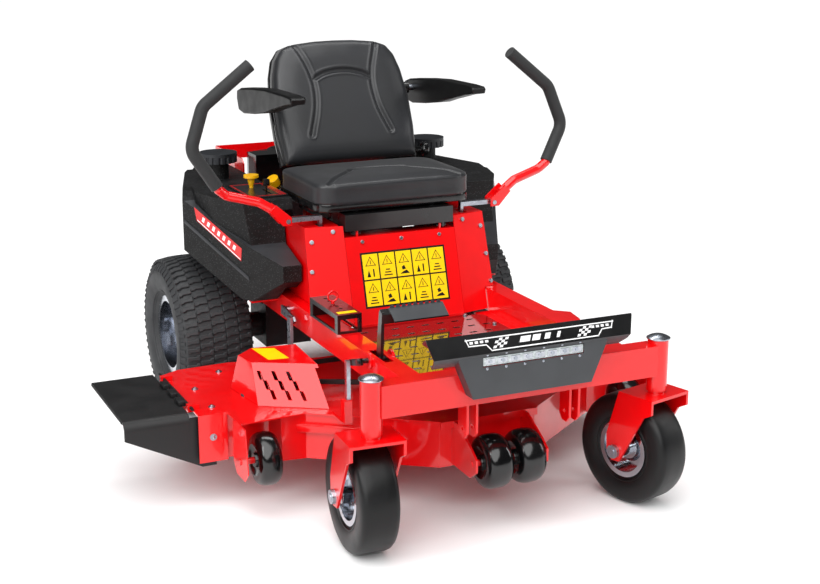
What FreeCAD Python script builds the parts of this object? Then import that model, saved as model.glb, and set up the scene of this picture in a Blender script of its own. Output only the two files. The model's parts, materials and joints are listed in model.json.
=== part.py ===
import FreeCAD, Part
import math
import os

# Zero-turn riding mower, in millimetres. While it is drawn, +X is the machine's left, -Y its front,
# +Z up, and (0, 0, 0) is on the ground under the middle of the rear axle. The last lines move the
# whole machine so that the origin is on the ground in the middle of its bounding box.

V = FreeCAD.Vector
X_AXIS = V(1, 0, 0)
Y_AXIS = V(0, 1, 0)
Z_AXIS = V(0, 0, 1)

# Wheels
drive_radius = 228.6
drive_width = 216.0
drive_x = 423.0
drive_bead_radius = 102.0
drive_flange_radius = 114.0
drive_rim_width = 172.0
caster_radius = 140.0
caster_width = 95.0
caster_bead_radius = 64.0
caster_flange_radius = 73.0
caster_rim_width = 80.0
rim_lip = 5.0
caster_trail = 67.0
pivot_x = 377.0
pivot_y = -1191.0
left_swivel = math.degrees(0.261)
right_swivel = math.degrees(-0.053)
running_clearance = 0.05
body_gap = 0.3

# Frame
rail_inner_x = 244.0
rail_outer_x = 295.0
rail_bottom_z = 356.0
rail_top_z = 420.0
rail_rear_y = 330.0
beam_front_y = -1215.0
beam_rear_y = -1164.0
beam_bottom_z = 346.0
beam_top_z = 422.0
pivot_tube_radius = 25.5
pivot_tube_bottom_z = 305.0
pivot_tube_top_z = 434.0
spindle_radius = 16.0
wall = 3.0
sheet = 3.0
fender_foot_z = 403.0
fender_rest_z = 450.0
fender_top_z = 671.0
panel_z = 672.0

# Tower under the seat: its front face leans back towards the top and sweeps back to each side
tower_lean = 0.2967
tower_sweep = 0.219
tower_top_z = 620.0
tower_outer_x = 262.0
tower_inner_x = 162.0
tower_rear_y = -210.0
centre_top_z = 590.0

# Engine and seat
engine_y = 190.0
seat_rest_z = 606.0
seat_hinge_y = -499.0
seat_hinge_z = 598.0
recline_y = -150.0
recline_z = 690.0
back_foot_y = -205.0
back_foot_z = 735.0
back_top_y = -58.0
back_top_z = 1072.0
armrest_y = -62.0
armrest_z = 915.0
armrest_pin_radius = 9.0

pump_pulley_radius = 52.0

# Hand levers
arm_pivot_y = -455.0
arm_pivot_z = 585.0
lever_pivot_x = 304.0
lever_pivot_z = 640.0
lever_tube_radius = 12.7
grip_radius = 17.0

# Deck
deck_top_z = 245.0
deck_bottom_z = 125.0
blade_x = 355.0
side_blade_y = -620.0
centre_blade_y = -805.0
blade_radius = 181.0
spindle_shaft_radius = 12.5
pulley_radius = 60.0
belt_z = 268.0
belt_height = 13.0
chute_hinge_x = -652.0
chute_hinge_z = 252.0
hinge_radius = 4.0
gauge_axle_radius = 8.0
chute_outer_x = -826.0
gauge_x = 512.0
gauge_y = -850.0
gauge_z = 148.0
gauge_radius = 66.0
gauge_width = 58.0
roller_y = -1137.0
roller_z = 168.0
roller_radius = 66.0

# Foot lift
pedal_pivot_y = -993.0
pedal_pivot_z = 410.0
lift_shaft_y = -440.0
lift_shaft_z = 392.0

parts = {}


def block(x0, x1, y0, y1, z0, z1):
    return Part.makeBox(x1 - x0, y1 - y0, z1 - z0, V(x0, y0, z0))


def rod(start, axis, radius, length):
    return Part.makeCylinder(radius, length, V(*start), axis)


def ring(start, axis, outer, inner, length):
    return rod(start, axis, outer, length).cut(rod(start, axis, inner, length))


def outline(points):
    return Part.Face(Part.makePolygon([V(*p) for p in points] + [V(*points[0])]))


def prism_x(points, x0, x1):
    return outline([(x0, y, z) for y, z in points]).extrude(V(x1 - x0, 0, 0))


def prism_y(points, y0, y1):
    return outline([(x, y0, z) for x, z in points]).extrude(V(0, y1 - y0, 0))


def prism_z(points, z0, z1):
    return outline([(x, y, z0) for x, y in points]).extrude(V(0, 0, z1 - z0))


def plate(points, thickness):
    """Flat sheet from its outline in space; it grows towards the back of the machine."""
    face = outline(points)
    normal = face.normalAt(0, 0)
    if normal.y < 0:
        normal = normal * -1
    return face.extrude(normal * thickness)


def joined(shapes):
    result = shapes[0]
    for shape in shapes[1:]:
        result = result.fuse(shape)
    return result.removeSplitter()


def mirrored(shape):
    return shape.mirror(V(0, 0, 0), X_AXIS)


def on_side(shape, side):
    """A shape is drawn on the left (+X) and copied to the right by mirroring."""
    return shape if side == "left" else mirrored(shape)


def rounded(shape, radius, pick):
    edges = [edge for edge in shape.Edges if pick(edge)]
    return shape.makeFillet(radius, edges)


def revolved(profile, x, y, z):
    """Closed profile of (along X, radius) points turned about the X line through (x, y, z)."""
    face = outline([(x + u, y, z + r) for u, r in profile])
    return face.revolve(V(x, y, z), X_AXIS, 360)


def bent_tube(points, radius, bend):
    """Round bar along straight runs joined by tangent arcs."""
    corners = [V(*p) for p in points]
    edges = []
    start = corners[0]
    for before, corner, after in zip(corners, corners[1:], corners[2:]):
        to_before = (before - corner).normalize()
        to_after = (after - corner).normalize()
        half = (math.pi - to_before.getAngle(to_after)) / 2
        setback = bend * math.tan(half)
        arc_start = corner + to_before * setback
        arc_end = corner + to_after * setback
        bisector = (to_before + to_after).normalize()
        middle = corner + bisector * (bend / math.cos(half) - bend)
        edges.append(Part.makeLine(start, arc_start))
        edges.append(Part.Arc(arc_start, middle, arc_end).toShape())
        start = arc_end
    edges.append(Part.makeLine(start, corners[-1]))
    path = Part.Wire(edges)
    section = Part.Wire(Part.makeCircle(radius, corners[0], (corners[1] - corners[0]).normalize()))
    return path.makePipeShell([section], True, False)


def tyre_profile(radius, width, bead, bead_half, flange, shoulder, thickness):
    """Outside from one bead over the tread to the other, then back inside: an open-bellied tyre."""
    half = width / 2
    outer = [(-bead_half, bead), (-bead_half, flange + 1), (-half, bead + (radius - bead) * 0.5),
             (-half * 0.94, radius - shoulder), (-half * 0.94 + shoulder * 0.75, radius - shoulder * 0.12),
             (-half * 0.5, radius)]
    outer += [(-u, r) for u, r in reversed(outer)]
    inner = []
    for u, r in reversed(outer[1:-1]):
        inner.append((u * (half - thickness) / half, max(bead, r - thickness)))
    return outer + inner


# ---- Frame -------------------------------------------------------------------------------------

def make_rail():
    tube = block(rail_inner_x, rail_outer_x, beam_rear_y, rail_rear_y, rail_bottom_z, rail_top_z)
    hollow = block(rail_inner_x + wall, rail_outer_x - wall, beam_rear_y - 1, rail_rear_y + 1,
                   rail_bottom_z + wall, rail_top_z - wall)
    floor_flange = block(200, rail_inner_x, -1150, -560, rail_bottom_z - 4, rail_bottom_z)
    foot = block(rail_inner_x, rail_inner_x + wall, -1150, -560, rail_bottom_z - 4, rail_bottom_z)
    shapes = [tube.cut(hollow), floor_flange, foot]
    # supports that carry the fender: an outrigger in front and two short posts
    shapes.append(block(rail_outer_x - wall, 372, -358, -332, fender_foot_z - 6, fender_foot_z))
    for y in (-300, 90):
        shapes.append(block(270, 292, y, y + 26, rail_top_z - wall, fender_rest_z))
    return joined(shapes)


for side in ("left", "right"):
    parts["frame_rail_" + side] = on_side(make_rail(), side)


def make_front_beam():
    end_x = pivot_x - 15
    beam = block(-end_x, end_x, beam_front_y, beam_rear_y, beam_bottom_z, beam_top_z)
    hollow = block(-330, 330, beam_front_y + 4, beam_rear_y - 4, beam_bottom_z + 4, beam_top_z - 4)
    shapes = [beam.cut(hollow)]
    tube_length = pivot_tube_top_z - pivot_tube_bottom_z
    for x in (-pivot_x, pivot_x):
        shapes.append(rod((x, pivot_y, pivot_tube_bottom_z), Z_AXIS, pivot_tube_radius, tube_length))
    hanger = prism_x([(-1212, 350), (-1168, 350), (-1168, 275), (-1180, 262), (-1200, 262), (-1212, 275)], 0, 6)
    for x in (-150, -126, 120, 144):
        shapes.append(hanger.translated(V(x, 0, 0)))
    body = joined(shapes)
    for x in (-pivot_x, pivot_x):
        body = body.cut(rod((x, pivot_y, 300), Z_AXIS, spindle_radius + running_clearance, 140))
    for x in (-170, 100):
        body = body.cut(rod((x, -1190, 285), X_AXIS, 6, 70))
    return body


parts["front_beam"] = make_front_beam()

hitch_hole_radius = 8.0
hitch_y = 372.0


def make_rear_frame():
    cross = block(-rail_inner_x, rail_inner_x, 270, rail_rear_y, rail_bottom_z, rail_top_z)
    cross_hollow = block(-rail_inner_x - 1, rail_inner_x + 1, 270 + wall, rail_rear_y - wall,
                         rail_bottom_z + wall, rail_top_z - wall)
    engine_deck = block(-rail_inner_x, rail_inner_x, -340, 272, rail_top_z - 4, rail_top_z)
    axle_beam = block(-rail_inner_x, rail_inner_x, -60, 60, rail_bottom_z, rail_bottom_z + 6)
    tongue = block(-45, 45, 320, 400, rail_bottom_z - 8, rail_bottom_z + 1)
    shapes = [cross.cut(cross_hollow), engine_deck, axle_beam, tongue]
    for y in (-60, 56):
        shapes.append(block(-rail_inner_x, rail_inner_x, y, y + 4, rail_bottom_z, rail_top_z))
    for x in (-150, 125):
        shapes.append(block(x, x + 25, -195, -170, rail_top_z - 2, seat_rest_z - body_gap))
    body = joined(shapes)
    body = body.cut(rod((0, engine_y, rail_top_z - 10), Z_AXIS, 24, 20))
    return body.cut(rod((0, hitch_y, rail_bottom_z - 20), Z_AXIS, hitch_hole_radius, 30))


parts["rear_frame"] = make_rear_frame()

guard_x = 225.0
guard_rear_y = 404.0
guard_top_z = 702.0


def make_guard():
    rear_band = block(-guard_x, guard_x, guard_rear_y - 4, guard_rear_y, guard_top_z - 44, guard_top_z)
    shapes = [rear_band]
    side_profile = [(guard_rear_y, guard_top_z), (guard_rear_y, guard_top_z - 44), (175, 655), (175, rail_top_z),
                    (130, rail_top_z), (130, 690), (145, guard_top_z)]
    for side in ("left", "right"):
        shapes.append(on_side(prism_x(side_profile, guard_x - 4, guard_x), side))
        shapes.append(on_side(block(guard_x - 30, guard_x, 130, 175, rail_top_z, rail_top_z + 4), side))
    return joined(shapes)


parts["engine_guard"] = make_guard()


def make_floor_pan():
    edge_x = 212
    pan = prism_z([(-edge_x, -1150), (edge_x, -1150), (edge_x, -600), (edge_x - 30, -572),
                   (-edge_x + 30, -572), (-edge_x, -600)], rail_bottom_z, rail_bottom_z + sheet)
    slots = []
    for row in range(10):
        shift = 22 if row % 2 else 0
        for column in range(9):
            x = -176 + column * 44 + shift
            y = -1120 + row * 55
            if abs(x) < 190:
                slots.append(block(x - 10, x + 10, y - 4, y + 4, rail_bottom_z - 1, rail_bottom_z + sheet + 1))
    return pan.cut(Part.makeCompound(slots))


parts["floor_pan"] = make_floor_pan()


# ---- Tower -------------------------------------------------------------------------------------

def tower_front(x, z):
    return (x, -502 - tower_lean * (622 - z) + tower_sweep * max(0, x - tower_inner_x), z)


def make_tower_side():
    front = plate([tower_front(tower_inner_x, 621), tower_front(tower_inner_x, rail_bottom_z + 8),
                   tower_front(rail_inner_x - 2, rail_bottom_z + 8), tower_front(rail_inner_x - 2, rail_top_z + 1),
                   tower_front(tower_outer_x + 8, rail_top_z + 1), tower_front(tower_outer_x, tower_top_z)],
                  sheet)
    side_front_top = tower_front(tower_outer_x, tower_top_z)
    side_front_foot = tower_front(tower_outer_x, rail_top_z + 1)
    side_wall = prism_x([(side_front_top[1] + 1, tower_top_z), (side_front_foot[1] + 1, rail_top_z + 1),
                         (tower_rear_y, rail_top_z + 1), (tower_rear_y, 560), (-330, tower_top_z)],
                        tower_outer_x - sheet, tower_outer_x)
    top = block(tower_inner_x + 6, tower_outer_x, -482, -330, tower_top_z - sheet, tower_top_z)
    arm_slot = block(200, 220, -478, -428, tower_top_z - 10, tower_top_z + 5)
    return joined([front, side_wall, top]).cut(arm_slot)


parts["tower"] = Part.makeCompound([on_side(make_tower_side(), side) for side in ("left", "right")])


def make_centre_panel():
    half = tower_inner_x - 1
    corners = [tower_front(-half, centre_top_z), tower_front(-half, rail_bottom_z + 8),
               tower_front(half, rail_bottom_z + 8), tower_front(half, centre_top_z)]
    face = plate(corners, 3)
    shelf_y = corners[0][1]
    shelf = block(-half, half, shelf_y + 1, shelf_y + 60, centre_top_z - sheet, centre_top_z)
    foot_y = corners[1][1]
    foot = block(-half, half, foot_y - 1, foot_y + 20, rail_bottom_z + sheet, rail_bottom_z + 9)
    return joined([face, shelf, foot])


parts["centre_panel"] = make_centre_panel()


def make_front_plate():
    """Formed foot guard: a box-shaped band over a tapered pan, bolted to the front of the beam."""
    band = prism_x([(-1238, 523), (-1257, 478), (-1248, 466), (-1222, 447), (-1211, 458), (-1214, 510)],
                   -266, 266)
    ends = prism_y([(-268, 525), (268, 525), (252, 470), (240, 440), (-240, 440), (-252, 470)], -1260, -1200)
    band_hollow = prism_x([(-1235, 519.5), (-1253.5, 478), (-1246, 469), (-1221, 451), (-1200, 451),
                           (-1200, 519.5)], -262, 262)
    pan = prism_y([(-196, 480), (196, 480), (188, 455), (154, 373), (-154, 373), (-188, 455)],
                  -1253, beam_front_y)
    pan_hollow = prism_y([(-192, 476), (192, 476), (185, 455), (151, 377), (-151, 377), (-185, 455)],
                         -1250, beam_front_y + 1)
    body = joined([band.common(ends).cut(band_hollow), pan.cut(pan_hollow)])
    window = block(-131, 131, -1260, -1235, 446, 470)
    return body.cut(window)


parts["front_plate"] = make_front_plate()


def make_light_bar():
    body = joined([block(-130, 130, -1249, -1236, 447, 469), block(-140, 140, -1236, -1231, 463, 476)])
    lamps = []
    for index in range(8):
        x = -112 + index * 32
        lamps.append(rod((x, -1251, 458), Y_AXIS, 6, 4))
    return joined([body] + lamps)


parts["light_bar"] = make_light_bar()


# ---- Fenders, controls and engine --------------------------------------------------------------

def make_fender(with_controls):
    """Moulded tank over each drive tyre: a sloping outer wall, a step in front and a flat top."""
    plan = prism_z([(268, -470), (320, -470), (487, -120), (452, -10), (396, 165), (350, 255), (300, 255),
                    (268, 200)], 380, 720)
    side = prism_x([(-470, 474), (-470, 519), (-355, 552), (-126, 646), (-60, fender_top_z),
                    (200, fender_top_z), (255, 640), (255, 480), (-120, 505), (-325, fender_foot_z),
                    (-362, fender_foot_z)], 250, 520)
    lower = plan.common(side)
    tank = prism_z([(rail_inner_x - 8, -348), (365, -348), (428, -236), (455, -140), (432, -10), (380, 160),
                    (340, 250), (rail_inner_x - 8, 250)], 500, fender_top_z)
    tank_front = prism_x([(-348, 500), (-348, 552), (-322, fender_top_z), (260, fender_top_z), (260, 500)],
                         rail_inner_x - 10, 520)
    body = joined([lower, tank.common(tank_front)])
    wheel_space = rod((200, 0, drive_radius), X_AXIS, drive_radius + 24, 400)
    frame_space = block(150, tower_outer_x + 4, -480, -200, 380, 640)
    rail_space = block(150, rail_outer_x + 4, -480, 400, 340, fender_rest_z)
    guard_space = block(150, guard_x + 12, -400, 400, 340, 720)
    hollow = prism_z([(300, -290), (340, -290), (415, -150), (425, -40), (370, 130), (320, 215), (300, 215)],
                     510, 636)
    panel_space = block(150, 356, -304, -106, panel_z - 1, 760)
    controls_space = block(262, 330, -285, -140, 560, 700)
    for space in (wheel_space, frame_space, rail_space, guard_space, hollow, panel_space):
        body = body.cut(space)
    return body.cut(controls_space) if with_controls else body


cap_x = 332.0
cap_y = 35.0
cap_z = 708.0

for side in ("left", "right"):
    neck = ring((cap_x, cap_y, 655), Z_AXIS, 30, 22, cap_z + 20 - 655)
    body = make_fender(side == "right").cut(rod((cap_x, cap_y, 600), Z_AXIS, 22, 200)).fuse(neck).removeSplitter()
    parts["fender_" + side] = on_side(body, side)
    cap = rod((cap_x, cap_y, cap_z + 11), Z_AXIS, 55, 28)
    cap = cap.cut(rod((cap_x, cap_y, cap_z), Z_AXIS, 30 + body_gap, 12 + 8 + body_gap))
    for turn in range(18):
        angle = math.radians(turn * 20)
        cap = cap.cut(rod((cap_x + 58 * math.cos(angle), cap_y + 58 * math.sin(angle), cap_z), Z_AXIS, 6, 30))
    parts["fuel_cap_" + side] = on_side(cap, side)


def make_control_panel():
    panel = prism_z([(-352, -300), (-240, -300), (-240, -110), (-352, -110)], panel_z, panel_z + 4)
    tray = block(-348, -244, -296, -114, panel_z - 0.5, panel_z)
    throttle_slot = block(-283, -277, -270, -200, panel_z - 2, panel_z + 6)
    knob_hole = rod((-300, -165, panel_z - 2), Z_AXIS, 6 + running_clearance, 10)
    return joined([panel, tray]).cut(throttle_slot).cut(knob_hole)


parts["control_panel"] = make_control_panel()


def make_engine_block():
    sump = block(-120, 120, 60, 330, rail_top_z, 500)
    crankcase = block(-95, 95, 80, 320, 500, 585)
    shapes = [sump, crankcase]
    for side in (-1, 1):
        for fin in range(7):
            x = side * (100 + fin * 11)
            low, high = min(x, x + side * 6), max(x, x + side * 6)
            shapes.append(block(low, high, 110, 260, 470, 600))
        shapes.append(block(min(side * 90, side * 172), max(side * 90, side * 172), 140, 230, 490, 580))
        shapes.append(block(min(side * 166, side * 186), max(side * 166, side * 186), 125, 245, 480, 590))
    output_shaft = rod((0, engine_y, 280), Z_AXIS, 14, 145)
    drive_pulley = rod((0, engine_y, 321), Z_AXIS, pump_pulley_radius, 16)
    clutch = rod((0, engine_y, 280), Z_AXIS, 62, 38)
    dipstick_tube = bent_tube([(-150, -85, 560), (-185, -100, 612), (-214, -120, 668)], 9, 40)
    tube_foot = bent_tube([(-150, -85, 562), (-110, -40, 520), (-100, 90, 470)], 9, 40)
    return joined(shapes + [output_shaft, drive_pulley, clutch, dipstick_tube, tube_foot])


parts["engine_block"] = make_engine_block()


def make_engine_shroud():
    housing = prism_z([(-150, 70), (-60, 40), (60, 40), (150, 70), (175, 190), (150, 320), (60, 352),
                       (-60, 352), (-150, 320), (-175, 190)], 604, 690)
    screen = rod((0, 195, 690), Z_AXIS, 120, 18)
    cleaner = block(-205, -30, 70, 140, 640, 722)
    grille = []
    for index in range(9):
        grille.append(block(-90, 90, 115 + index * 18, 121 + index * 18, 702, 709))
    return joined([housing, screen, cleaner]).cut(Part.makeCompound(grille))


parts["engine_shroud"] = make_engine_shroud()


muffler_y = 375.0
muffler_z = 505.0


def make_muffler():
    """Cylindrical silencer with a pipe to each cylinder, an outlet and a foot on the rear cross tube."""
    body = rod((-110, muffler_y, muffler_z), X_AXIS, 42, 220)
    shapes = [body, rod((70, muffler_y, muffler_z - 75), Z_AXIS, 14, 50)]
    for sign in (-1, 1):
        shapes.append(bent_tube([(sign * 152, 260, muffler_z), (sign * 152, muffler_y, muffler_z),
                                 (sign * 100, muffler_y, muffler_z)], 13, 34))
    shapes.append(block(-40, 10, rail_rear_y, rail_rear_y + 5, 380, 480))
    shapes.append(block(-40, 10, rail_rear_y, muffler_y, 475, 480))
    return joined(shapes)


parts["muffler"] = make_muffler()

shaft_radius = 14.0


def make_transaxle():
    case = block(95, 235, -70, 70, 175, 300)
    pump = rod((165, 0, 300), Z_AXIS, 48, 48)
    input_shaft = rod((165, 0, 340), Z_AXIS, 9, 12)
    pulley = rod((165, 0, 322), Z_AXIS, pump_pulley_radius, 14)
    axle_tube = rod((230, 0, drive_radius), X_AXIS, 36, 60)
    hangers = [block(215, 235, y, y + 20, 295, rail_bottom_z) for y in (-68, 48)]
    body = joined([case, pump, input_shaft, pulley, axle_tube] + hangers)
    return body.cut(rod((200, 0, drive_radius), X_AXIS, shaft_radius + running_clearance, 120))


parts["transaxles"] = Part.makeCompound([on_side(make_transaxle(), side) for side in ("left", "right")])

parts["battery"] = joined([block(-90, 90, -330, -200, rail_top_z, 565), block(-70, -50, -280, -260, 565, 577),
                           block(50, 70, -280, -260, 565, 577)])


def make_height_selector():
    x0, x1, y0, y1, top = -300, -235, -802, -612, 469
    frame = block(x0, x1, y0, y1, rail_top_z, top)
    inside = block(x0 + 5, x1 - 5, y0 + 5, y1 - 5, rail_top_z - 1, top - 5)
    side_window = block(x0 - 1, x1 + 1, y0 + 18, y1 - 18, rail_top_z + 6, top - 12)
    front_window = block(x0 + 8, x1 - 8, y0 - 1, y0 + 6, rail_top_z + 6, top - 12)
    box = frame.cut(inside).cut(side_window).cut(front_window)
    for step in range(6):
        box = box.cut(rod((-268, -770 + step * 26, top - 6), Z_AXIS, 5 + running_clearance, 8))
    return box


parts["height_selector"] = make_height_selector()

selector_pin_y = -692.0


def make_selector_pin():
    shank = rod((-268, selector_pin_y, 440), Z_AXIS, 5, 36)
    ring_body = Part.makeTorus(13, 2.5, V(-268, selector_pin_y, 488), Y_AXIS)
    return shank.fuse(ring_body).removeSplitter()


parts["selector_pin"] = make_selector_pin()


def belt_around(circles, radius, z, height, thickness):
    """Belt stretched round equal pulleys: outside outline less inside outline."""
    base = outline([(x, y, z) for x, y in circles])
    outer = Part.Face(base.makeOffset2D(radius + thickness).OuterWire)
    inner = Part.Face(base.makeOffset2D(radius).OuterWire)
    return outer.extrude(V(0, 0, height)).cut(inner.extrude(V(0, 0, height)))


parts["drive_belt"] = belt_around([(-165, 0), (165, 0), (0, engine_y)], pump_pulley_radius + body_gap, 323,
                                  12, 6)


def make_panel_bolts():
    """Heads of the screws that hold the tower sides, the centre panel and the floor pan."""
    heads = []
    for x, z in ((190, 607), (248, 583), (256, 508), (262, 434)):
        for sign in (-1, 1):
            outward = V(sign * tower_sweep, -1, tower_lean).normalize()
            heads.append(rod((sign * x, tower_front(x, z)[1], z), outward, 6, 5))
    forward = V(0, -1, tower_lean).normalize()
    for x in (-113, 0, 113):
        heads.append(rod((x, tower_front(0, 576)[1], 576), forward, 5, 4))
    for x, y in ((-196, -690), (196, -690), (-196, -900), (196, -900), (-160, -586), (160, -586)):
        heads.append(rod((x, y, rail_bottom_z + sheet), Z_AXIS, 6, 4))
    return Part.makeCompound(heads)


parts["panel_bolts"] = make_panel_bolts()

parts["oil_fill_cap"] = rod((-214, -120, 669), V(-29, -20, 56).normalize(), 17, 24).cut(
    rod((-214, -120, 668), V(-29, -20, 56).normalize(), 9 + body_gap, 14))

knob_x = -300.0
knob_y = -165.0


def make_pto_knob():
    stem = rod((knob_x, knob_y, panel_z - 12), Z_AXIS, 6, 30)
    neck = Part.makeCone(7, 12, 24, V(knob_x, knob_y, panel_z + 10), Z_AXIS)
    head = rod((knob_x, knob_y, panel_z + 32), Z_AXIS, 21, 8)
    return joined([stem, neck, head])


parts["pto_knob"] = make_pto_knob()

throttle_y = -235.0


def make_throttle():
    strip = block(-282, -278, throttle_y - 4, throttle_y + 4, panel_z - 45, panel_z + 22)
    grip = block(-288, -272, throttle_y - 7, throttle_y + 7, panel_z + 20, panel_z + 38)
    return joined([strip, grip])


parts["throttle_lever"] = make_throttle()


# ---- Wheels ------------------------------------------------------------------------------------

def make_rim(bead, width, flange, hub_radius, bore, disc_u):
    half = width / 2
    seat = bead - 0.3
    barrel = [(-half, bead - 4), (half, bead - 4), (half, flange), (half - rim_lip, flange),
              (half - rim_lip, seat), (-half + rim_lip, seat), (-half + rim_lip, flange), (-half, flange)]
    disc = [(disc_u, bore), (disc_u + 5, bore), (disc_u + 5, hub_radius), (disc_u - 22, bead * 0.62),
            (disc_u - 22, bead - 2), (disc_u - 27, bead - 2), (disc_u - 27, bead * 0.60),
            (disc_u, hub_radius - 2)]
    return barrel, disc


def make_drive_rim():
    barrel, disc = make_rim(drive_bead_radius, drive_rim_width, drive_flange_radius, 48, 20, 30)
    body = revolved(barrel, drive_x, 0, drive_radius).fuse(revolved(disc, drive_x, 0, drive_radius))
    hub = rod((drive_x - 20, 0, drive_radius), X_AXIS, 34, 62)
    shaft = rod((206, 0, drive_radius), X_AXIS, shaft_radius, drive_x - 206)
    flange = rod((296, 0, drive_radius), X_AXIS, 42, 12)
    spacer = rod((300, 0, drive_radius), X_AXIS, 24, 120)
    body = joined([body, hub, shaft, flange, spacer])
    nuts = []
    for index in range(4):
        angle = math.radians(45 + 90 * index)
        nuts.append(rod((drive_x + 34, 50 * math.cos(angle) * 0.78, drive_radius + 50 * math.sin(angle) * 0.78),
                        X_AXIS, 9, 14))
    return joined([body] + nuts)


for side in ("left", "right"):
    profile = tyre_profile(drive_radius, drive_width, drive_bead_radius,
                           drive_rim_width / 2 - rim_lip - body_gap, drive_flange_radius, 26, 14)
    tyre = revolved(profile, drive_x, 0, drive_radius)
    parts["drive_tyre_" + side] = on_side(tyre, side)
    parts["drive_rim_" + side] = on_side(make_drive_rim(), side)


def swivelled(shape, side):
    """Turns a caster piece, drawn trailing straight back on the left, to its resting swivel."""
    if side == "left":
        return shape.rotated(V(pivot_x, pivot_y, 0), Z_AXIS, left_swivel)
    moved = shape.translated(V(-2 * pivot_x, 0, 0))
    return moved.rotated(V(-pivot_x, pivot_y, 0), Z_AXIS, right_swivel)


axle_radius = 8.0


def make_fork():
    axle_y = pivot_y + caster_trail
    half_gap = 60.0
    thick = 7.0
    top = block(pivot_x - half_gap - thick, pivot_x + half_gap + thick, pivot_y - 46, pivot_y + 60, 290, 298)
    shapes = [top]
    arm = [(pivot_y - 46, 298), (pivot_y + 60, 298), (axle_y + 29, 180), (axle_y + 27, caster_radius),
           (axle_y + 10, caster_radius - 26), (axle_y - 14, caster_radius - 24), (axle_y - 28, caster_radius),
           (pivot_y - 20, 248), (pivot_y - 46, 262)]
    for x in (pivot_x - half_gap - thick, pivot_x + half_gap):
        shapes.append(prism_x(arm, x, x + thick))
    spindle = rod((pivot_x, pivot_y, 296), Z_AXIS, spindle_radius, pivot_tube_top_z + body_gap - 296)
    washer = rod((pivot_x, pivot_y, 298), Z_AXIS, 22, pivot_tube_bottom_z - body_gap - 298)
    dome = Part.makeSphere(50, V(pivot_x, pivot_y, pivot_tube_top_z + 12 - 50))
    disc = rod((pivot_x, pivot_y, pivot_tube_top_z + body_gap), Z_AXIS, 29, 12)
    shapes += [spindle, washer, disc.common(dome)]
    axle = rod((pivot_x - half_gap - thick - 12, axle_y, caster_radius), X_AXIS, axle_radius,
               2 * (half_gap + thick + 12))
    shapes.append(axle)
    for x in (pivot_x - half_gap - thick - 10, pivot_x + half_gap + thick):
        shapes.append(rod((x, axle_y, caster_radius), X_AXIS, 17, 10))
    return joined(shapes)


def make_caster_tyre():
    profile = tyre_profile(caster_radius, caster_width, caster_bead_radius,
                           caster_rim_width / 2 - rim_lip - body_gap, caster_flange_radius, 16, 12)
    return revolved(profile, pivot_x, pivot_y + caster_trail, caster_radius)


def make_caster_rim():
    x, y, z = pivot_x, pivot_y + caster_trail, caster_radius
    barrel, disc = make_rim(caster_bead_radius, caster_rim_width, caster_flange_radius, 30,
                            axle_radius + running_clearance, 16)
    other_disc = [(-u, r) for u, r in disc]
    hub = ring((x - 52, y, z), X_AXIS, 19, axle_radius + running_clearance, 104)
    return joined([revolved(barrel, x, y, z), revolved(disc, x, y, z), revolved(other_disc, x, y, z), hub])


for side in ("left", "right"):
    parts["caster_fork_" + side] = swivelled(make_fork(), side)
    parts["caster_tyre_" + side] = swivelled(make_caster_tyre(), side)
    parts["caster_rim_" + side] = swivelled(make_caster_rim(), side)


# ---- Hand levers -------------------------------------------------------------------------------

grip_end = (481, -443, 734)
lever_bends = [(544, -419, 836), (505, -406, 944), (381, -412, 1042)]
tube_bends = [(460, -438, 716), (376, -453, 694)]


def make_control_arm():
    """Pivot inside the tower, an upright through the tower's top slot and the bar to the lever."""
    pivot = rod((196, arm_pivot_y, arm_pivot_z), X_AXIS, 10, 40)
    upright_bar = block(205, 213, arm_pivot_y - 8, arm_pivot_y + 8, arm_pivot_z, lever_pivot_z + 6)
    bar = block(205, lever_pivot_x, arm_pivot_y - 8, arm_pivot_y + 8, lever_pivot_z - 6, lever_pivot_z + 6)
    hinge_pin = rod((lever_pivot_x, arm_pivot_y - 22, lever_pivot_z), Y_AXIS, 6, 44)
    return joined([pivot, upright_bar, bar, hinge_pin])


def make_lever():
    foot = (lever_pivot_x + 24, arm_pivot_y - 8, lever_pivot_z + 24)
    tube = bent_tube([foot] + tube_bends[::-1] + [grip_end], lever_tube_radius, 20)
    rise = bent_tube([grip_end] + lever_bends, lever_tube_radius, 45)
    joint_ball = Part.makeSphere(lever_tube_radius, V(*grip_end))
    ears = []
    for y in (arm_pivot_y - 20, arm_pivot_y + 14):
        ear = prism_y([(lever_pivot_x - 10, lever_pivot_z - 11), (lever_pivot_x + 14, lever_pivot_z - 11),
                       (lever_pivot_x + 50, lever_pivot_z + 28), (lever_pivot_x + 32, lever_pivot_z + 46),
                       (lever_pivot_x - 10, lever_pivot_z + 10)], y, y + 6)
        ears.append(ear.cut(rod((lever_pivot_x, y - 1, lever_pivot_z), Y_AXIS, 6 + running_clearance, 8)))
    web = block(lever_pivot_x + 16, lever_pivot_x + 34, arm_pivot_y - 15, arm_pivot_y + 15, lever_pivot_z + 12,
                lever_pivot_z + 30)
    return joined([tube, rise, joint_ball, web] + ears)


def make_grip():
    """Foam sleeve over the upper tube, closed at its tip."""
    inner = V(*grip_end)
    direction = (V(*lever_bends[0]) - inner).normalize()
    start = inner + direction * 4
    tip = V(*lever_bends[-1])
    tip_direction = (tip - V(*lever_bends[-2])).normalize()
    end = tip + tip_direction * 6
    points = [tuple(start)] + lever_bends[:-1] + [tuple(end)]
    return bent_tube(points, grip_radius, 45)


for side in ("left", "right"):
    lever = make_lever()
    sleeve = make_grip().cut(lever)
    parts["control_arm_" + side] = on_side(make_control_arm(), side)
    parts["lever_" + side] = on_side(lever, side)
    parts["grip_" + side] = on_side(max(sleeve.Solids, key=lambda solid: solid.Volume), side)


# ---- Seat --------------------------------------------------------------------------------------

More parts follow.
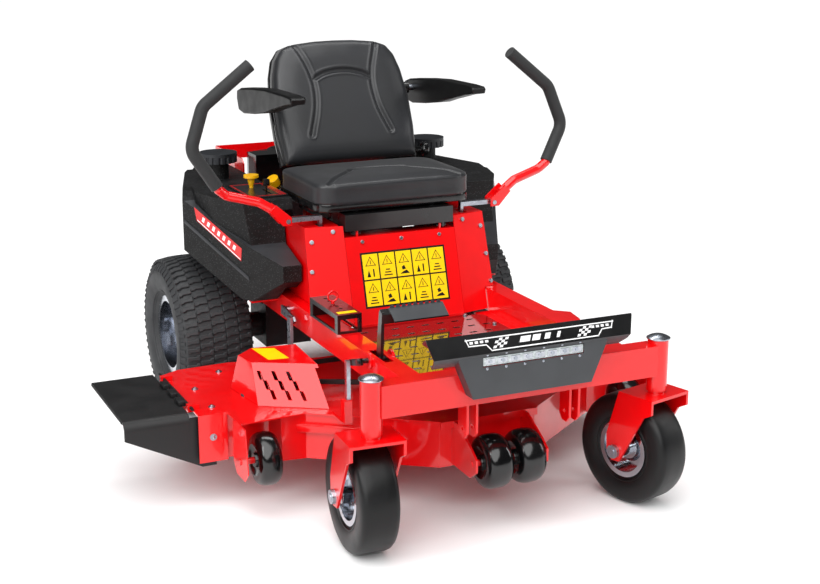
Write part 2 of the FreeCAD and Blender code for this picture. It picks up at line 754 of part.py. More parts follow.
def make_seat_base():
    """Tray under the seat, hinged on two pins at its front edge, with the fore-and-aft slide rails."""
    tray = block(-158, 158, -510, -160, seat_rest_z, 650)
    hollow = block(-154, 154, -506, -161 + 2, 600, 646)
    shapes = [tray.cut(hollow)]
    for x in (-134, 128):
        shapes.append(block(x, x + 6, -505.5, -490, 594, 648))
    for x in (-140, 112):
        shapes.append(rod((x, seat_hinge_y, seat_hinge_z), X_AXIS, 5, 28))
    for x in (-120, 104):
        shapes.append(block(x, x + 16, -470, -170, 650, 655))
    return joined(shapes)


parts["seat_base"] = make_seat_base()
lugs = []
for x in (-126, 118):
    lug = block(x, x + 6, -506, -490, centre_top_z - 1, 604.6)
    lugs.append(lug.cut(rod((x - 1, seat_hinge_y, seat_hinge_z), X_AXIS, 5 + running_clearance, 8)))
parts["centre_panel"] = joined([parts["centre_panel"]] + lugs)


def make_seat_cushion():
    shell = prism_z([(-205, -488), (205, -488), (226, -455), (222, -175), (-222, -175), (-226, -455)],
                    655 + body_gap, 676)
    pad = prism_z([(-200, -505), (200, -505), (234, -470), (230, -190), (-230, -190), (-234, -470)], 676, 736)
    shapes = [shell, rounded(pad, 18, lambda edge: edge.BoundBox.ZMin > 735)]
    for sign in (-1, 1):
        shapes.append(on_side(block(152, 158, -240, -138, 660, 702), "left" if sign > 0 else "right"))
        shapes.append(rod((sign * 137 - 21, recline_y, recline_z), X_AXIS, 5, 42))
    return joined(shapes)


parts["seat_cushion"] = make_seat_cushion()


def make_seat_back():
    """Back cushion on its shell: an upright slab that leans back from its foot."""
    lean = math.degrees(math.atan2(back_top_y - back_foot_y, back_top_z - back_foot_z))
    height = math.hypot(back_top_y - back_foot_y, back_top_z - back_foot_z)
    front = [(-212, 4), (-217, height * 0.5), (-200, height * 0.78), (-160, height * 0.95), (-90, height),
             (90, height), (160, height * 0.95), (200, height * 0.78), (217, height * 0.5), (212, 4)]
    slab = prism_y(front, 0, 70)
    slab = rounded(slab, 16, lambda edge: edge.BoundBox.YMax < 0.01 and edge.BoundBox.ZMin > 1)
    spine_left = block(-150, -122, 66, 84, -51, height * 0.6)
    spine_right = block(122, 150, 66, 84, -51, height * 0.6)
    back = joined([slab, spine_left, spine_right])
    back = back.rotated(V(0, 0, 0), X_AXIS, -lean).translated(V(0, back_foot_y, back_foot_z + 3))
    for x in (-226, 205):
        back = back.fuse(rod((x, armrest_y, armrest_z), X_AXIS, 17, 21))
    for x in (-240, 207):
        back = back.cut(rod((x, armrest_y, armrest_z), X_AXIS, armrest_pin_radius + running_clearance, 33))
    return back.cut(rod((-200, recline_y, recline_z), X_AXIS, 5 + running_clearance, 400))


parts["seat_back"] = make_seat_back()


def make_armrest():
    side = prism_x([(-5, 905), (-8, 928), (-40, 938), (-150, 950), (-250, 958), (-400, 961), (-448, 960),
                    (-456, 953), (-452, 941), (-405, 933), (-300, 908), (-240, 892), (-150, 878), (-60, 868),
                    (-20, 873)], 240, 284)
    pin = rod((209, armrest_y, armrest_z), X_AXIS, armrest_pin_radius, 33)
    return side.fuse(pin).removeSplitter()


for side in ("left", "right"):
    parts["armrest_" + side] = on_side(make_armrest(), side)


# ---- Cutting deck ------------------------------------------------------------------------------

skirt_left = [(130, -1030), (400, -835), (462, -830), (472, -764), (575, -748), (588, -560), (560, -420),
              (450, -380), (210, -440)]
skirt_right = [(-210, -440), (-450, -380), (-600, -392), (-600, -744), (-472, -764), (-462, -830),
               (-400, -835), (-130, -1030)]
top_left = [(132, -1036), (402, -841), (575, -852), (575, -748), (592, -560), (563, -416), (450, -376),
            (212, -436)]
top_right = [(-212, -436), (-450, -376), (-593, -383), (-648, -413), (-648, -756), (-575, -756),
             (-575, -852), (-402, -841), (-132, -1036)]


def make_deck_shell():
    top = prism_z(top_left + top_right, deck_top_z - 4, deck_top_z)
    skirt_face = outline([(x, y, deck_bottom_z) for x, y in skirt_left + skirt_right])
    inner_face = Part.Face(skirt_face.makeOffset2D(-sheet).OuterWire)
    rise = V(0, 0, deck_top_z - 3 - deck_bottom_z)
    skirt = skirt_face.extrude(rise).cut(inner_face.extrude(rise))
    outlet = block(-610, -590, -735, -425, deck_bottom_z - 1, deck_top_z - 5)
    lip = prism_x([(-1042, deck_top_z), (-1036, deck_top_z), (-1036, deck_top_z - 18),
                   (-1042, deck_top_z - 18)], -132, 132)
    shapes = [top, skirt.cut(outlet), lip]
    for x in (-575, 572):
        shapes.append(prism_x([(-800, deck_top_z - 2), (-890, deck_top_z - 2), (-906, 134), (-880, 108),
                               (-820, 108), (-797, 134)], x, x + 3))
    for sign in (-1, 1):
        start = -578 if sign < 0 else gauge_x - 30
        shapes.append(rod((start, gauge_y, gauge_z), X_AXIS, gauge_axle_radius, 578 - gauge_x + 30))
    wing = block(-648, -575, -756, -752, 122, deck_top_z)
    wing_foot = block(-579, -575, -756, -745, 122, deck_top_z)
    shapes += [wing, wing_foot]
    for y in (-700, -460):
        knuckle = block(chute_hinge_x - 8, -630, y - 8, y + 8, deck_top_z - 4, deck_top_z + 14)
        shapes.append(knuckle)
    shapes.append(rod((-100, roller_y, roller_z), X_AXIS, gauge_axle_radius, 200))
    for x in (-98, 92):
        shapes.append(prism_x([(-1030, deck_top_z - 2), (-1030, 132), (-1128, 130), (-1160, 152), (-1160, 184),
                               (-1128, 206), (-1060, deck_top_z - 2)], x, x + 6))
    for x, y in ((-blade_x, side_blade_y), (0, centre_blade_y), (blade_x, side_blade_y)):
        shapes.append(rod((x, y, 175), Z_AXIS, 34, deck_top_z + 12 - 175))
        shapes.append(rod((x, y, deck_top_z), Z_AXIS, 70, 8))
    for sign in (-1, 1):
        bracket_x = sign * 334
        shapes.append(block(bracket_x - 10, bracket_x + 10, -950, -926, deck_top_z - 2, 300))
        shapes.append(block(bracket_x - 10, bracket_x + 10, -950, -870, deck_top_z - 2, deck_top_z + 6))
        shapes.append(block(sign * 330 - 5, sign * 330 + 5, -944, -932, 290, 398))
        shapes.append(block(sign * 322 - 4, sign * 322 + 4, -532, -508, deck_top_z - 2, 396))
    shell = joined(shapes)
    for x, y in ((-blade_x, side_blade_y), (0, centre_blade_y), (blade_x, side_blade_y)):
        shell = shell.cut(rod((x, y, 170), Z_AXIS, spindle_shaft_radius + running_clearance, 100))
    return shell.cut(rod((chute_hinge_x, -720, chute_hinge_z), Y_AXIS, hinge_radius + running_clearance, 300))


parts["deck_shell"] = make_deck_shell()


def make_belt_covers():
    """Folded sheet over each side spindle pulley; its sloping front has three rows of slots."""
    flat = [(-478, -660), (-332, -741), (-322, -560), (-440, -545), (-490, -590)]
    foot = [(-492, -746), (-326, -850), (-318, -510), (-455, -480), (-512, -590)]
    top_z, foot_z = 332, deck_top_z + 1
    outside = loft_between(foot, foot_z, flat, top_z)
    inside = loft_between([grown(p, foot, -3) for p in foot], foot_z - 1, [grown(p, flat, -3) for p in flat],
                          top_z - 3)
    cover = outside.cut(inside)
    cover = cover.cut(block(-340, -300, -1000, -400, foot_z - 1, top_z - 8))
    for row in range(3):
        for column in range(3):
            along = 0.08 + column * 0.22 + row * 0.05
            drop = 0.30 + row * 0.22
            x = -478 + along * 146 + drop * 4 - 2
            y = -660 - along * 81 - drop * 100
            z = top_z - drop * (top_z - foot_z)
            slot = block(-3.5, 3.5, -40, 40, -9, 9).rotated(V(0, 0, 0), Z_AXIS, 4)
            cover = cover.cut(slot.translated(V(x, y, z)))
    return Part.makeCompound([cover, mirrored(cover)])


def grown(point, polygon, amount):
    """A point moved away from (positive) or towards (negative) the middle of its polygon."""
    middle_x = sum(x for x, y in polygon) / len(polygon)
    middle_y = sum(y for x, y in polygon) / len(polygon)
    distance = math.hypot(point[0] - middle_x, point[1] - middle_y)
    scale = (distance + amount) / distance
    return (middle_x + (point[0] - middle_x) * scale, middle_y + (point[1] - middle_y) * scale)


def loft_between(low_points, low_z, high_points, high_z):
    low = Part.makePolygon([V(x, y, low_z) for x, y in low_points + low_points[:1]])
    high = Part.makePolygon([V(x, y, high_z) for x, y in high_points + high_points[:1]])
    return Part.makeLoft([low, high], True, True)


parts["belt_covers"] = make_belt_covers()

spindles = {"left": (blade_x, side_blade_y), "centre": (0, centre_blade_y), "right": (-blade_x, side_blade_y)}
parts["deck_belt"] = belt_around([spindles[key] for key in ("right", "centre", "left")],
                                 pulley_radius + body_gap, belt_z, belt_height, 6)


def make_blade(x, y):
    bar = block(x - blade_radius, x + blade_radius, y - 27, y + 27, 148, 153)
    bar = bar.common(rod((x, y, 140), Z_AXIS, blade_radius, 20))
    shaft = rod((x, y, 140), Z_AXIS, spindle_shaft_radius, belt_z + belt_height + 6 - 140)
    pulley = rod((x, y, belt_z), Z_AXIS, pulley_radius, belt_height)
    rims = rod((x, y, belt_z - 3), Z_AXIS, pulley_radius - 3, belt_height + 6)
    bolt_head = rod((x, y, 138), Z_AXIS, 15, 12)
    lifts = []
    for sign in (-1, 1):
        lifts.append(block(x + sign * 150 - 30, x + sign * 150 + 30, y + sign * 24 - 3, y + sign * 24 + 3, 150, 166))
    return joined([bar, shaft, pulley, rims, bolt_head] + lifts)


for key, (x, y) in spindles.items():
    parts["blade_" + key] = make_blade(x, y)


def make_guide_wheel(x, y, z, radius, width):
    half = width / 2
    profile = [(-half, gauge_axle_radius + running_clearance), (half, gauge_axle_radius + running_clearance),
               (half, radius * 0.78), (half * 0.72, radius * 0.95), (half * 0.3, radius), (-half * 0.3, radius),
               (-half * 0.72, radius * 0.95), (-half, radius * 0.78)]
    return revolved(profile, x, y, z)


parts["gauge_wheel_left"] = make_guide_wheel(gauge_x, gauge_y, gauge_z, gauge_radius, gauge_width)
parts["gauge_wheel_right"] = make_guide_wheel(-gauge_x, gauge_y, gauge_z, gauge_radius, gauge_width)
parts["front_rollers"] = Part.makeCompound([
    make_guide_wheel(-44, roller_y, roller_z, roller_radius, 68),
    make_guide_wheel(44, roller_y, roller_z, roller_radius, 68)])


def make_chute():
    top = prism_z([(chute_hinge_x - 12, -730), (chute_outer_x, -730), (chute_outer_x, -395),
                   (chute_hinge_x - 12, -425)], 240, 245)
    front = prism_y([(chute_outer_x, 245), (chute_outer_x, 206), (-640, 112), (-600, 106), (-600, 236),
                     (-660, 236), (chute_hinge_x - 12, 245)], -738, -733)
    corner = block(chute_outer_x, chute_hinge_x - 12, -735, -728, 240, 245)
    hinge_rod = rod((chute_hinge_x, -722, chute_hinge_z), Y_AXIS, hinge_radius, 300)
    shapes = [top, front, corner, hinge_rod]
    for y in (-668, -600, -530):
        shapes.append(block(chute_hinge_x - 20, chute_hinge_x + 2, y, y + 40, 243, chute_hinge_z + 5))
    lip = block(chute_outer_x, chute_outer_x + 4, -730, -395, 230, 245)
    return joined(shapes + [lip])


parts["discharge_chute"] = make_chute()


def make_lift_pedal():
    arm = prism_x([(-1006, 352), (-982, 352), (-979, 410), (-998, 528), (-1014, 528), (-1006, 410)],
                  -274, -266)
    tread = prism_x([(-1004, 536), (-1040, 512), (-1040, 508), (-1002, 531)], -252, -112)
    link = prism_x([(-1014, 500), (-998, 500), (-1002, 534), (-1016, 524)], -274, -230)
    axle = rod((-330, pedal_pivot_y, pedal_pivot_z), X_AXIS, 6, 100)
    crank = prism_x([(-1005, 404), (-1000, 420), (-930, 398), (-922, 390), (-930, 382), (-996, 400)],
                    -323, -317)
    return joined([arm, tread, link, axle, crank])


parts["lift_pedal"] = make_lift_pedal()


def make_lift_shaft():
    shaft = rod((-314, lift_shaft_y, lift_shaft_z), X_AXIS, 10, 628)
    arms = []
    for x in (-314, 308):
        arms.append(prism_x([(-452, 404), (-428, 404), (-426, 380), (-450, 378), (-520, 374), (-530, 384),
                             (-520, 394)], x, x + 6))
    return joined([shaft] + arms)


parts["lift_shaft"] = make_lift_shaft()

# Openings cut last in the frame: the lift shaft's bearings and the pedal's slot and pivot
for side, sign in (("left", 1), ("right", -1)):
    bore = rod((-330 if sign < 0 else 230, lift_shaft_y, lift_shaft_z), X_AXIS, 10 + running_clearance, 100)
    parts["frame_rail_" + side] = parts["frame_rail_" + side].cut(bore)
pedal_slot = block(-281, -259, -1052, -950, rail_bottom_z - 5, rail_top_z + 5)
bosses = [rod((-301, pedal_pivot_y, pedal_pivot_z), X_AXIS, 20, 6), rod((-244, pedal_pivot_y, pedal_pivot_z),
                                                                       X_AXIS, 20, 6)]
rail = joined([parts["frame_rail_right"].cut(pedal_slot)] + bosses)
parts["frame_rail_right"] = rail.cut(rod((-340, pedal_pivot_y, pedal_pivot_z), X_AXIS, 6 + running_clearance, 130))


# ---- Placing and writing -----------------------------------------------------------------------

bounds = FreeCAD.BoundBox()
for shape in parts.values():
    bounds.add(shape.optimalBoundingBox(False))
origin = V((bounds.XMin + bounds.XMax) / 2, (bounds.YMin + bounds.YMax) / 2, bounds.ZMin)

os.makedirs("parts", exist_ok=True)
for name, shape in parts.items():
    placed = shape.translated(origin * -1)
    solids = len(placed.Solids)
    if not placed.isValid() or solids == 0:
        print("check", name, placed.isValid(), solids)
    placed.exportStep("parts/" + name + ".step")
print("pieces", len(parts), "origin", tuple(round(value, 3) for value in origin),
      "size", [round(value, 1) for value in (bounds.XLength, bounds.YLength, bounds.ZLength)])
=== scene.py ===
import bpy
import bmesh
import json
import math
from mathutils import Matrix, Vector


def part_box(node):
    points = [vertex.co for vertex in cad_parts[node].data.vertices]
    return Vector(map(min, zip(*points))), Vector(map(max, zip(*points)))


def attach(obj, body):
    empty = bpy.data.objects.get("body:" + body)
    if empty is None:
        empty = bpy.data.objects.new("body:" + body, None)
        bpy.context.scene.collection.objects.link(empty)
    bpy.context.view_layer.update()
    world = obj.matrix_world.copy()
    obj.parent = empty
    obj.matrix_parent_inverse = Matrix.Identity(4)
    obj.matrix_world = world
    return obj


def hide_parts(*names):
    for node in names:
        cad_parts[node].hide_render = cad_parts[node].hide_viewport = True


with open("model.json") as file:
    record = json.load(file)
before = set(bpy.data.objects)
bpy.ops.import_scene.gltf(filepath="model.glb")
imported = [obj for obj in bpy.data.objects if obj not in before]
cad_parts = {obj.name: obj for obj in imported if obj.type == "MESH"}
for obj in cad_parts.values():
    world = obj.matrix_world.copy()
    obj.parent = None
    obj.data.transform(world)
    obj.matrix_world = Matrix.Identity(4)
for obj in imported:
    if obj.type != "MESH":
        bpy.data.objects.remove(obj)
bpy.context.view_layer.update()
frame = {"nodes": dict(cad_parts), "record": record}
print("frame loaded")

# Pieces are drawn in millimetres from the ground under the middle of the rear axle
tyreLeft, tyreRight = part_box("drive_tyre_left"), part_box("drive_tyre_right")
axle = Vector(((tyreLeft[1][0] + tyreRight[0][0]) / 2, (tyreLeft[0][1] + tyreLeft[1][1]) / 2, 0))
mm = 0.001
toFrame = Matrix.Translation(axle) @ Matrix.Scale(mm, 4)
bodyOf = {node: body for body, nodes in frame["record"]["behaviour"]["bodies"].items() for node in nodes}
sides = {"left": 1, "right": -1}


# Camera

view = {"place": (-1.599, -4.067, 1.478), "azimuth": -24.6, "elevation": 15.12, "focal": 65.33}


def placeCamera():
    data = bpy.data.cameras.new("camera")
    data.lens = view["focal"]
    data.sensor_width = 36
    data.clip_end = 100
    camera = bpy.data.objects.new("camera", data)
    camera.location = Vector(view["place"]) + axle
    camera.rotation_euler = (math.radians(90 - view["elevation"]), 0, math.radians(view["azimuth"]))
    bpy.context.collection.objects.link(camera)
    bpy.context.scene.camera = camera


placeCamera()


# Colours and nodes

def linear(hexColour):
    # sRGB hex to the linear values that the shaders take
    values = [int(hexColour[i:i + 2], 16) / 255 for i in (0, 2, 4)]
    values = [v / 12.92 if v <= 0.04045 else ((v + 0.055) / 1.055) ** 2.4 for v in values]
    return (*values, 1)


def addNode(tree, kind, inputs=None, **settings):
    node = tree.nodes.new(kind)
    for key, value in settings.items():
        setattr(node, key, value)
    for key, value in (inputs or {}).items():
        if isinstance(value, bpy.types.NodeSocket):
            tree.links.new(value, node.inputs[key])
        else:
            node.inputs[key].default_value = value
    return node


def blendColours(tree, factor, first, second):
    mix = addNode(tree, "ShaderNodeMix", {0: factor, 6: first, 7: second}, data_type="RGBA")
    return mix.outputs[2]


def spread(tree, value, low, high, toLow=0.0, toHigh=1.0):
    inputs = {"Value": value, "From Min": low, "From Max": high, "To Min": toLow, "To Max": toHigh}
    return addNode(tree, "ShaderNodeMapRange", inputs).outputs["Result"]


def makeFinish(name, look):
    # look holds: colour, shade, mottleMm, roughness, roughSpread, grainMm, grainDepthMm and, where
    # the material has them, metallic, coat, coatRoughness, coatIor, specular, sheen, and the colour, cell
    # size and share of painted highlight specks
    material = bpy.data.materials.new(name)
    material.use_nodes = True
    tree = material.node_tree
    shader = tree.nodes["Principled BSDF"]
    coords = addNode(tree, "ShaderNodeTexCoord").outputs["Object"]
    mottle = addNode(tree, "ShaderNodeTexNoise", {"Vector": coords, "Scale": 1 / (look["mottleMm"] * mm),
                                                  "Detail": 3.0}).outputs["Fac"]
    grain = addNode(tree, "ShaderNodeTexNoise", {"Vector": coords, "Scale": 1 / (look["grainMm"] * mm),
                                                 "Detail": 2.0}).outputs["Fac"]
    patches = spread(tree, mottle, 0.35, 0.65)
    colour = blendColours(tree, patches, linear(look["colour"]), linear(look["shade"]))
    # pale spots mixed into the base colour: painted highlights where the grain catches light
    if "paintedGlint" in look:
        cells = addNode(tree, "ShaderNodeTexVoronoi", {"Vector": coords, "Scale": 1 / (look["paintedGlintMm"] * mm)})
        glintSpot = spread(tree, cells.outputs["Distance"], 0.22, 0.34, 1.0, 0.0)
        glintChance = spread(tree, cells.outputs["Color"], look["paintedGlintFrom"], look["paintedGlintFrom"] + 0.05)
        paintedGlintMask = addNode(tree, "ShaderNodeMath", {0: glintSpot, 1: glintChance}, operation="MULTIPLY").outputs[0]
        colour = blendColours(tree, paintedGlintMask, colour, linear(look["paintedGlint"]))
    tree.links.new(colour, shader.inputs["Base Color"])
    low, high = look["roughness"] - look["roughSpread"], look["roughness"] + look["roughSpread"]
    rough = spread(tree, mottle, 0.3, 0.7, max(low, 0.02), high)
    tree.links.new(rough, shader.inputs["Roughness"])
    bump = addNode(tree, "ShaderNodeBump", {"Height": grain, "Distance": look["grainDepthMm"] * mm,
                                            "Strength": 1.0})
    tree.links.new(bump.outputs["Normal"], shader.inputs["Normal"])
    sockets = {"metallic": "Metallic", "coat": "Coat Weight", "coatRoughness": "Coat Roughness",
               "coatIor": "Coat IOR", "specular": "Specular IOR Level", "sheen": "Sheen Weight",
               "sheenRoughness": "Sheen Roughness", "glow": "Emission Strength"}
    for key, socket in sockets.items():
        if key in look:
            shader.inputs[socket].default_value = look[key]
    if "glow" in look:
        shader.inputs["Emission Color"].default_value = linear(look["colour"])
    return material


# Polyester powder coat baked on steel: deep, even red under a clear gloss with faint orange peel
powderRed = makeFinish("powder_coat_red_gloss", {
    "colour": "E80005", "shade": "DC0004", "mottleMm": 90, "roughness": 0.34, "roughSpread": 0.03,
    "coat": 1.0, "coatRoughness": 0.05, "coatIor": 1.5, "specular": 0.25, "grainMm": 2.5,
    "grainDepthMm": 0.006})
# The same coat in black on folded sheet
powderBlack = makeFinish("powder_coat_black_gloss", {
    "colour": "0C0C0D", "shade": "121213", "mottleMm": 70, "roughness": 0.3, "roughSpread": 0.05,
    "coat": 0.6, "coatRoughness": 0.12, "grainMm": 2.0, "grainDepthMm": 0.006})
# Grey wrinkle coat on the foot plate and pedal tread
powderGrey = makeFinish("powder_coat_graphite_satin", {
    "colour": "35373A", "shade": "3B3D40", "mottleMm": 60, "roughness": 0.42, "roughSpread": 0.05,
    "grainMm": 1.6, "grainDepthMm": 0.02})
# High gloss dark floor plate that mirrors the tower
glossFloor = makeFinish("enamel_black_high_gloss", {
    "colour": "0A0607", "shade": "0E0708", "mottleMm": 120, "roughness": 0.12, "roughSpread": 0.02,
    "coat": 1.0, "coatRoughness": 0.03, "coatIor": 1.9, "specular": 1.0, "grainMm": 3.0,
    "grainDepthMm": 0.004})
# Rotomoulded polyethylene with a sand texture; the pale specks in its colour are painted highlights where the
# grain catches light
paintedGlintPlastic = makeFinish("polyethylene_black_textured_painted_glints", {
    "colour": "060606", "shade": "0C0C0D", "mottleMm": 30, "roughness": 0.55, "roughSpread": 0.08,
    "specular": 0.3, "paintedGlint": "3E4042", "paintedGlintMm": 3.6, "paintedGlintFrom": 0.5, "grainMm": 2.6,
    "grainDepthMm": 0.4})
# Lighter smooth graphite for the up-facing fender ledges and the ledge strip: painted light from above
paintedLitLedgePlastic = makeFinish("polyethylene_graphite_smooth_painted_light", {
    "colour": "232528", "shade": "2A2C30", "mottleMm": 40, "roughness": 0.42, "roughSpread": 0.05,
    "grainMm": 3.0, "grainDepthMm": 0.05})
# Vulcanised rubber: dark grey, dull, with fine mould texture
tyreRubber = makeFinish("vulcanised_rubber_tyre", {
    "colour": "2E2F31", "shade": "27282A", "mottleMm": 45, "roughness": 0.66, "roughSpread": 0.07,
    "grainMm": 1.2, "grainDepthMm": 0.05})
casterRubber = makeFinish("moulded_rubber_smooth_black", {
    "colour": "050505", "shade": "08080A", "mottleMm": 40, "roughness": 0.4, "roughSpread": 0.05,
    "specular": 0.35, "grainMm": 1.6, "grainDepthMm": 0.02})
# Polished chromed steel
polishedSteel = makeFinish("steel_chromed_polished", {
    "colour": "C9CCD2", "shade": "B4B8C0", "mottleMm": 60, "metallic": 1.0, "roughness": 0.14,
    "roughSpread": 0.04, "grainMm": 8.0, "grainDepthMm": 0.003})
# Bright zinc on fasteners, rods and pins: slightly blue and mottled
zincPlate = makeFinish("steel_zinc_plated", {
    "colour": "B6BBC4", "shade": "A5ABB5", "mottleMm": 14, "metallic": 1.0, "roughness": 0.3,
    "roughSpread": 0.06, "grainMm": 3.0, "grainDepthMm": 0.004})
castAluminium = makeFinish("aluminium_sand_cast", {
    "colour": "5C5E61", "shade": "4C4E51", "mottleMm": 12, "metallic": 1.0, "roughness": 0.5,
    "roughSpread": 0.08, "grainMm": 1.4, "grainDepthMm": 0.15})
castIron = makeFinish("cast_iron_black_paint", {
    "colour": "141416", "shade": "1C1C1F", "mottleMm": 15, "roughness": 0.5, "roughSpread": 0.08,
    "grainMm": 1.8, "grainDepthMm": 0.2})
glossPlastic = makeFinish("abs_black_gloss", {
    "colour": "070708", "shade": "0B0B0C", "mottleMm": 50, "roughness": 0.18, "roughSpread": 0.04,
    "specular": 0.6, "grainMm": 4.0, "grainDepthMm": 0.01})
chuteRubber = makeFinish("rubber_moulded_black_matt", {
    "colour": "0B0B0C", "shade": "0E0E0F", "mottleMm": 60, "roughness": 0.5, "roughSpread": 0.05,
    "grainMm": 1.5, "grainDepthMm": 0.04})
# Vacuum-formed vinyl over foam: satin black with a fine leather-like grain
seatVinyl = makeFinish("vinyl_black_satin", {
    "colour": "222326", "shade": "1D1E20", "mottleMm": 80, "roughness": 0.4, "roughSpread": 0.04,
    "sheen": 0.08, "sheenRoughness": 0.4, "grainMm": 1.7, "grainDepthMm": 0.05})
armrestFoam = makeFinish("polyurethane_skinned_foam", {
    "colour": "040404", "shade": "070708", "mottleMm": 35, "roughness": 0.4, "roughSpread": 0.05,
    "specular": 0.25, "grainMm": 1.5, "grainDepthMm": 0.02})
gripFoam = makeFinish("closed_cell_foam_charcoal", {
    "colour": "161718", "shade": "1C1D1E", "mottleMm": 20, "roughness": 0.7, "roughSpread": 0.06,
    "sheen": 0.1, "sheenRoughness": 0.5, "grainMm": 1.1, "grainDepthMm": 0.15})
capPlastic = makeFinish("polypropylene_slate", {
    "colour": "15171B", "shade": "1B1E23", "mottleMm": 25, "roughness": 0.42, "roughSpread": 0.05,
    "grainMm": 1.2, "grainDepthMm": 0.04})
yellowPlastic = makeFinish("abs_yellow_gloss", {
    "colour": "F2B705", "shade": "E3A500", "mottleMm": 15, "roughness": 0.3, "roughSpread": 0.04,
    "grainMm": 2.0, "grainDepthMm": 0.02})
# Printed vinyl film, gloss laminated
filmYellow = makeFinish("vinyl_film_yellow", {
    "colour": "FFD400", "shade": "F8CB00", "mottleMm": 30, "roughness": 0.35, "roughSpread": 0.04,
    "grainMm": 6.0, "grainDepthMm": 0.01})
filmBlack = makeFinish("vinyl_film_black", {
    "colour": "0A0A0A", "shade": "101010", "mottleMm": 30, "roughness": 0.35, "roughSpread": 0.04,
    "grainMm": 6.0, "grainDepthMm": 0.01})
filmWhite = makeFinish("vinyl_film_white", {
    "colour": "F2F2F2", "shade": "E6E6E6", "mottleMm": 30, "roughness": 0.35, "roughSpread": 0.04,
    "grainMm": 6.0, "grainDepthMm": 0.01})
filmRed = makeFinish("vinyl_film_red", {
    "colour": "D4040A", "shade": "C80309", "mottleMm": 30, "roughness": 0.3, "roughSpread": 0.04,
    "coat": 0.5, "grainMm": 6.0, "grainDepthMm": 0.01})
lampLens = makeFinish("polycarbonate_clear_lens", {
    "colour": "C9CFD2", "shade": "9FA8A8", "mottleMm": 9, "roughness": 0.12, "roughSpread": 0.05,
    "specular": 0.8, "grainMm": 3.0, "grainDepthMm": 0.2})
print("finishes made")


# Mesh tools

def makePiece(name, bm, finishes, body, sharpAngle=35, merge=True):
    if merge:
        bmesh.ops.remove_doubles(bm, verts=bm.verts, dist=0.005)
        bmesh.ops.recalc_face_normals(bm, faces=bm.faces)
    bmesh.ops.transform(bm, matrix=toFrame, verts=bm.verts)
    return wrapMesh(name, bm, finishes, body, sharpAngle)


def wrapMesh(name, bm, finishes, body, sharpAngle):
    limit = math.radians(sharpAngle)
    for edge in bm.edges:
        edge.smooth = len(edge.link_faces) == 2 and edge.calc_face_angle(0) < limit
    for face in bm.faces:
        face.smooth = True
    mesh = bpy.data.meshes.new(name)
    bm.to_mesh(mesh)
    bm.free()
    piece = bpy.data.objects.new(name, mesh)
    bpy.context.collection.objects.link(piece)
    for finish in finishes:
        mesh.materials.append(finish)
    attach(piece, body)
    return piece


def evenNormals(piece):
    modifier = piece.modifiers.new("even_normals", "WEIGHTED_NORMAL")
    modifier.keep_sharp = True


def softened(node, finish, edgeMm=1.2, segments=2, limitAngle=28, finishes=None, pick=None):
    # A CAD piece with its edges rounded as the real sheet, tube or moulding has them
    source = frame["nodes"][node]
    bm = bmesh.new()
    bm.from_mesh(source.data)
    bmesh.ops.remove_doubles(bm, verts=bm.verts, dist=2e-6)
    bmesh.ops.dissolve_limit(bm, angle_limit=math.radians(0.6), verts=bm.verts, edges=bm.edges)
    limit = math.radians(limitAngle)
    edges = [e for e in bm.edges if len(e.link_faces) == 2 and e.calc_face_angle(0) > limit]
    if edgeMm:
        bmesh.ops.bevel(bm, geom=edges, offset=edgeMm * mm, offset_type="OFFSET", segments=segments,
                        profile=0.5, affect="EDGES", clamp_overlap=True, material=-1)
    if pick:
        for face in bm.faces:
            face.material_index = pick(face)
    piece = wrapMesh(node + "_finish", bm, finishes or [finish], bodyOf[node], 40)
    evenNormals(piece)
    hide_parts(node)
    return piece


def addBox(bm, x0, x1, y0, y1, z0, z1):
    size = Matrix.Diagonal((x1 - x0, y1 - y0, z1 - z0, 1))
    centre = Matrix.Translation(((x0 + x1) / 2, (y0 + y1) / 2, (z0 + z1) / 2))
    return bmesh.ops.create_cube(bm, size=1, matrix=centre @ size)["verts"]


def addRod(bm, start, end, radius, segments=24, endRadius=None):
    start, end = Vector(start), Vector(end)
    turn = (end - start).to_track_quat("Z", "Y").to_matrix().to_4x4()
    matrix = Matrix.Translation((start + end) / 2) @ turn
    topRadius = radius if endRadius is None else endRadius
    return bmesh.ops.create_cone(bm, cap_ends=True, segments=segments, radius1=radius, radius2=topRadius,
                                 depth=(end - start).length, matrix=matrix)["verts"]


def addPlate(bm, points, shift):
    # An outline of points pushed along shift
    face = bm.faces.new([bm.verts.new(p) for p in points])
    grown = bmesh.ops.extrude_face_region(bm, geom=[face])["geom"]
    verts = [item for item in grown if isinstance(item, bmesh.types.BMVert)]
    bmesh.ops.translate(bm, verts=verts, vec=shift)
    return [v for v in face.verts] + verts


def bevelEdges(bm, edges, width, segments=3):
    return bmesh.ops.bevel(bm, geom=list(edges), offset=width, offset_type="OFFSET", segments=segments,
                           profile=0.5, affect="EDGES", clamp_overlap=True, material=-1)


def addSpun(bm, profile, centre, axis, steps=64):
    # profile is a list of (along the axis, radius)
    axis = Vector(axis).normalized()
    across = axis.orthogonal().normalized()
    centre = Vector(centre)
    verts = [bm.verts.new(centre + axis * u + across * r) for u, r in profile]
    edges = [bm.edges.new((a, b)) for a, b in zip(verts, verts[1:])]
    if profile[0] != profile[-1] and min(profile[0][1], profile[-1][1]) > 0.01:
        edges.append(bm.edges.new((verts[-1], verts[0])))
    bmesh.ops.spin(bm, geom=verts + edges, cent=centre, axis=axis, angle=2 * math.pi, steps=steps,
                   use_merge=True, use_duplicate=False)


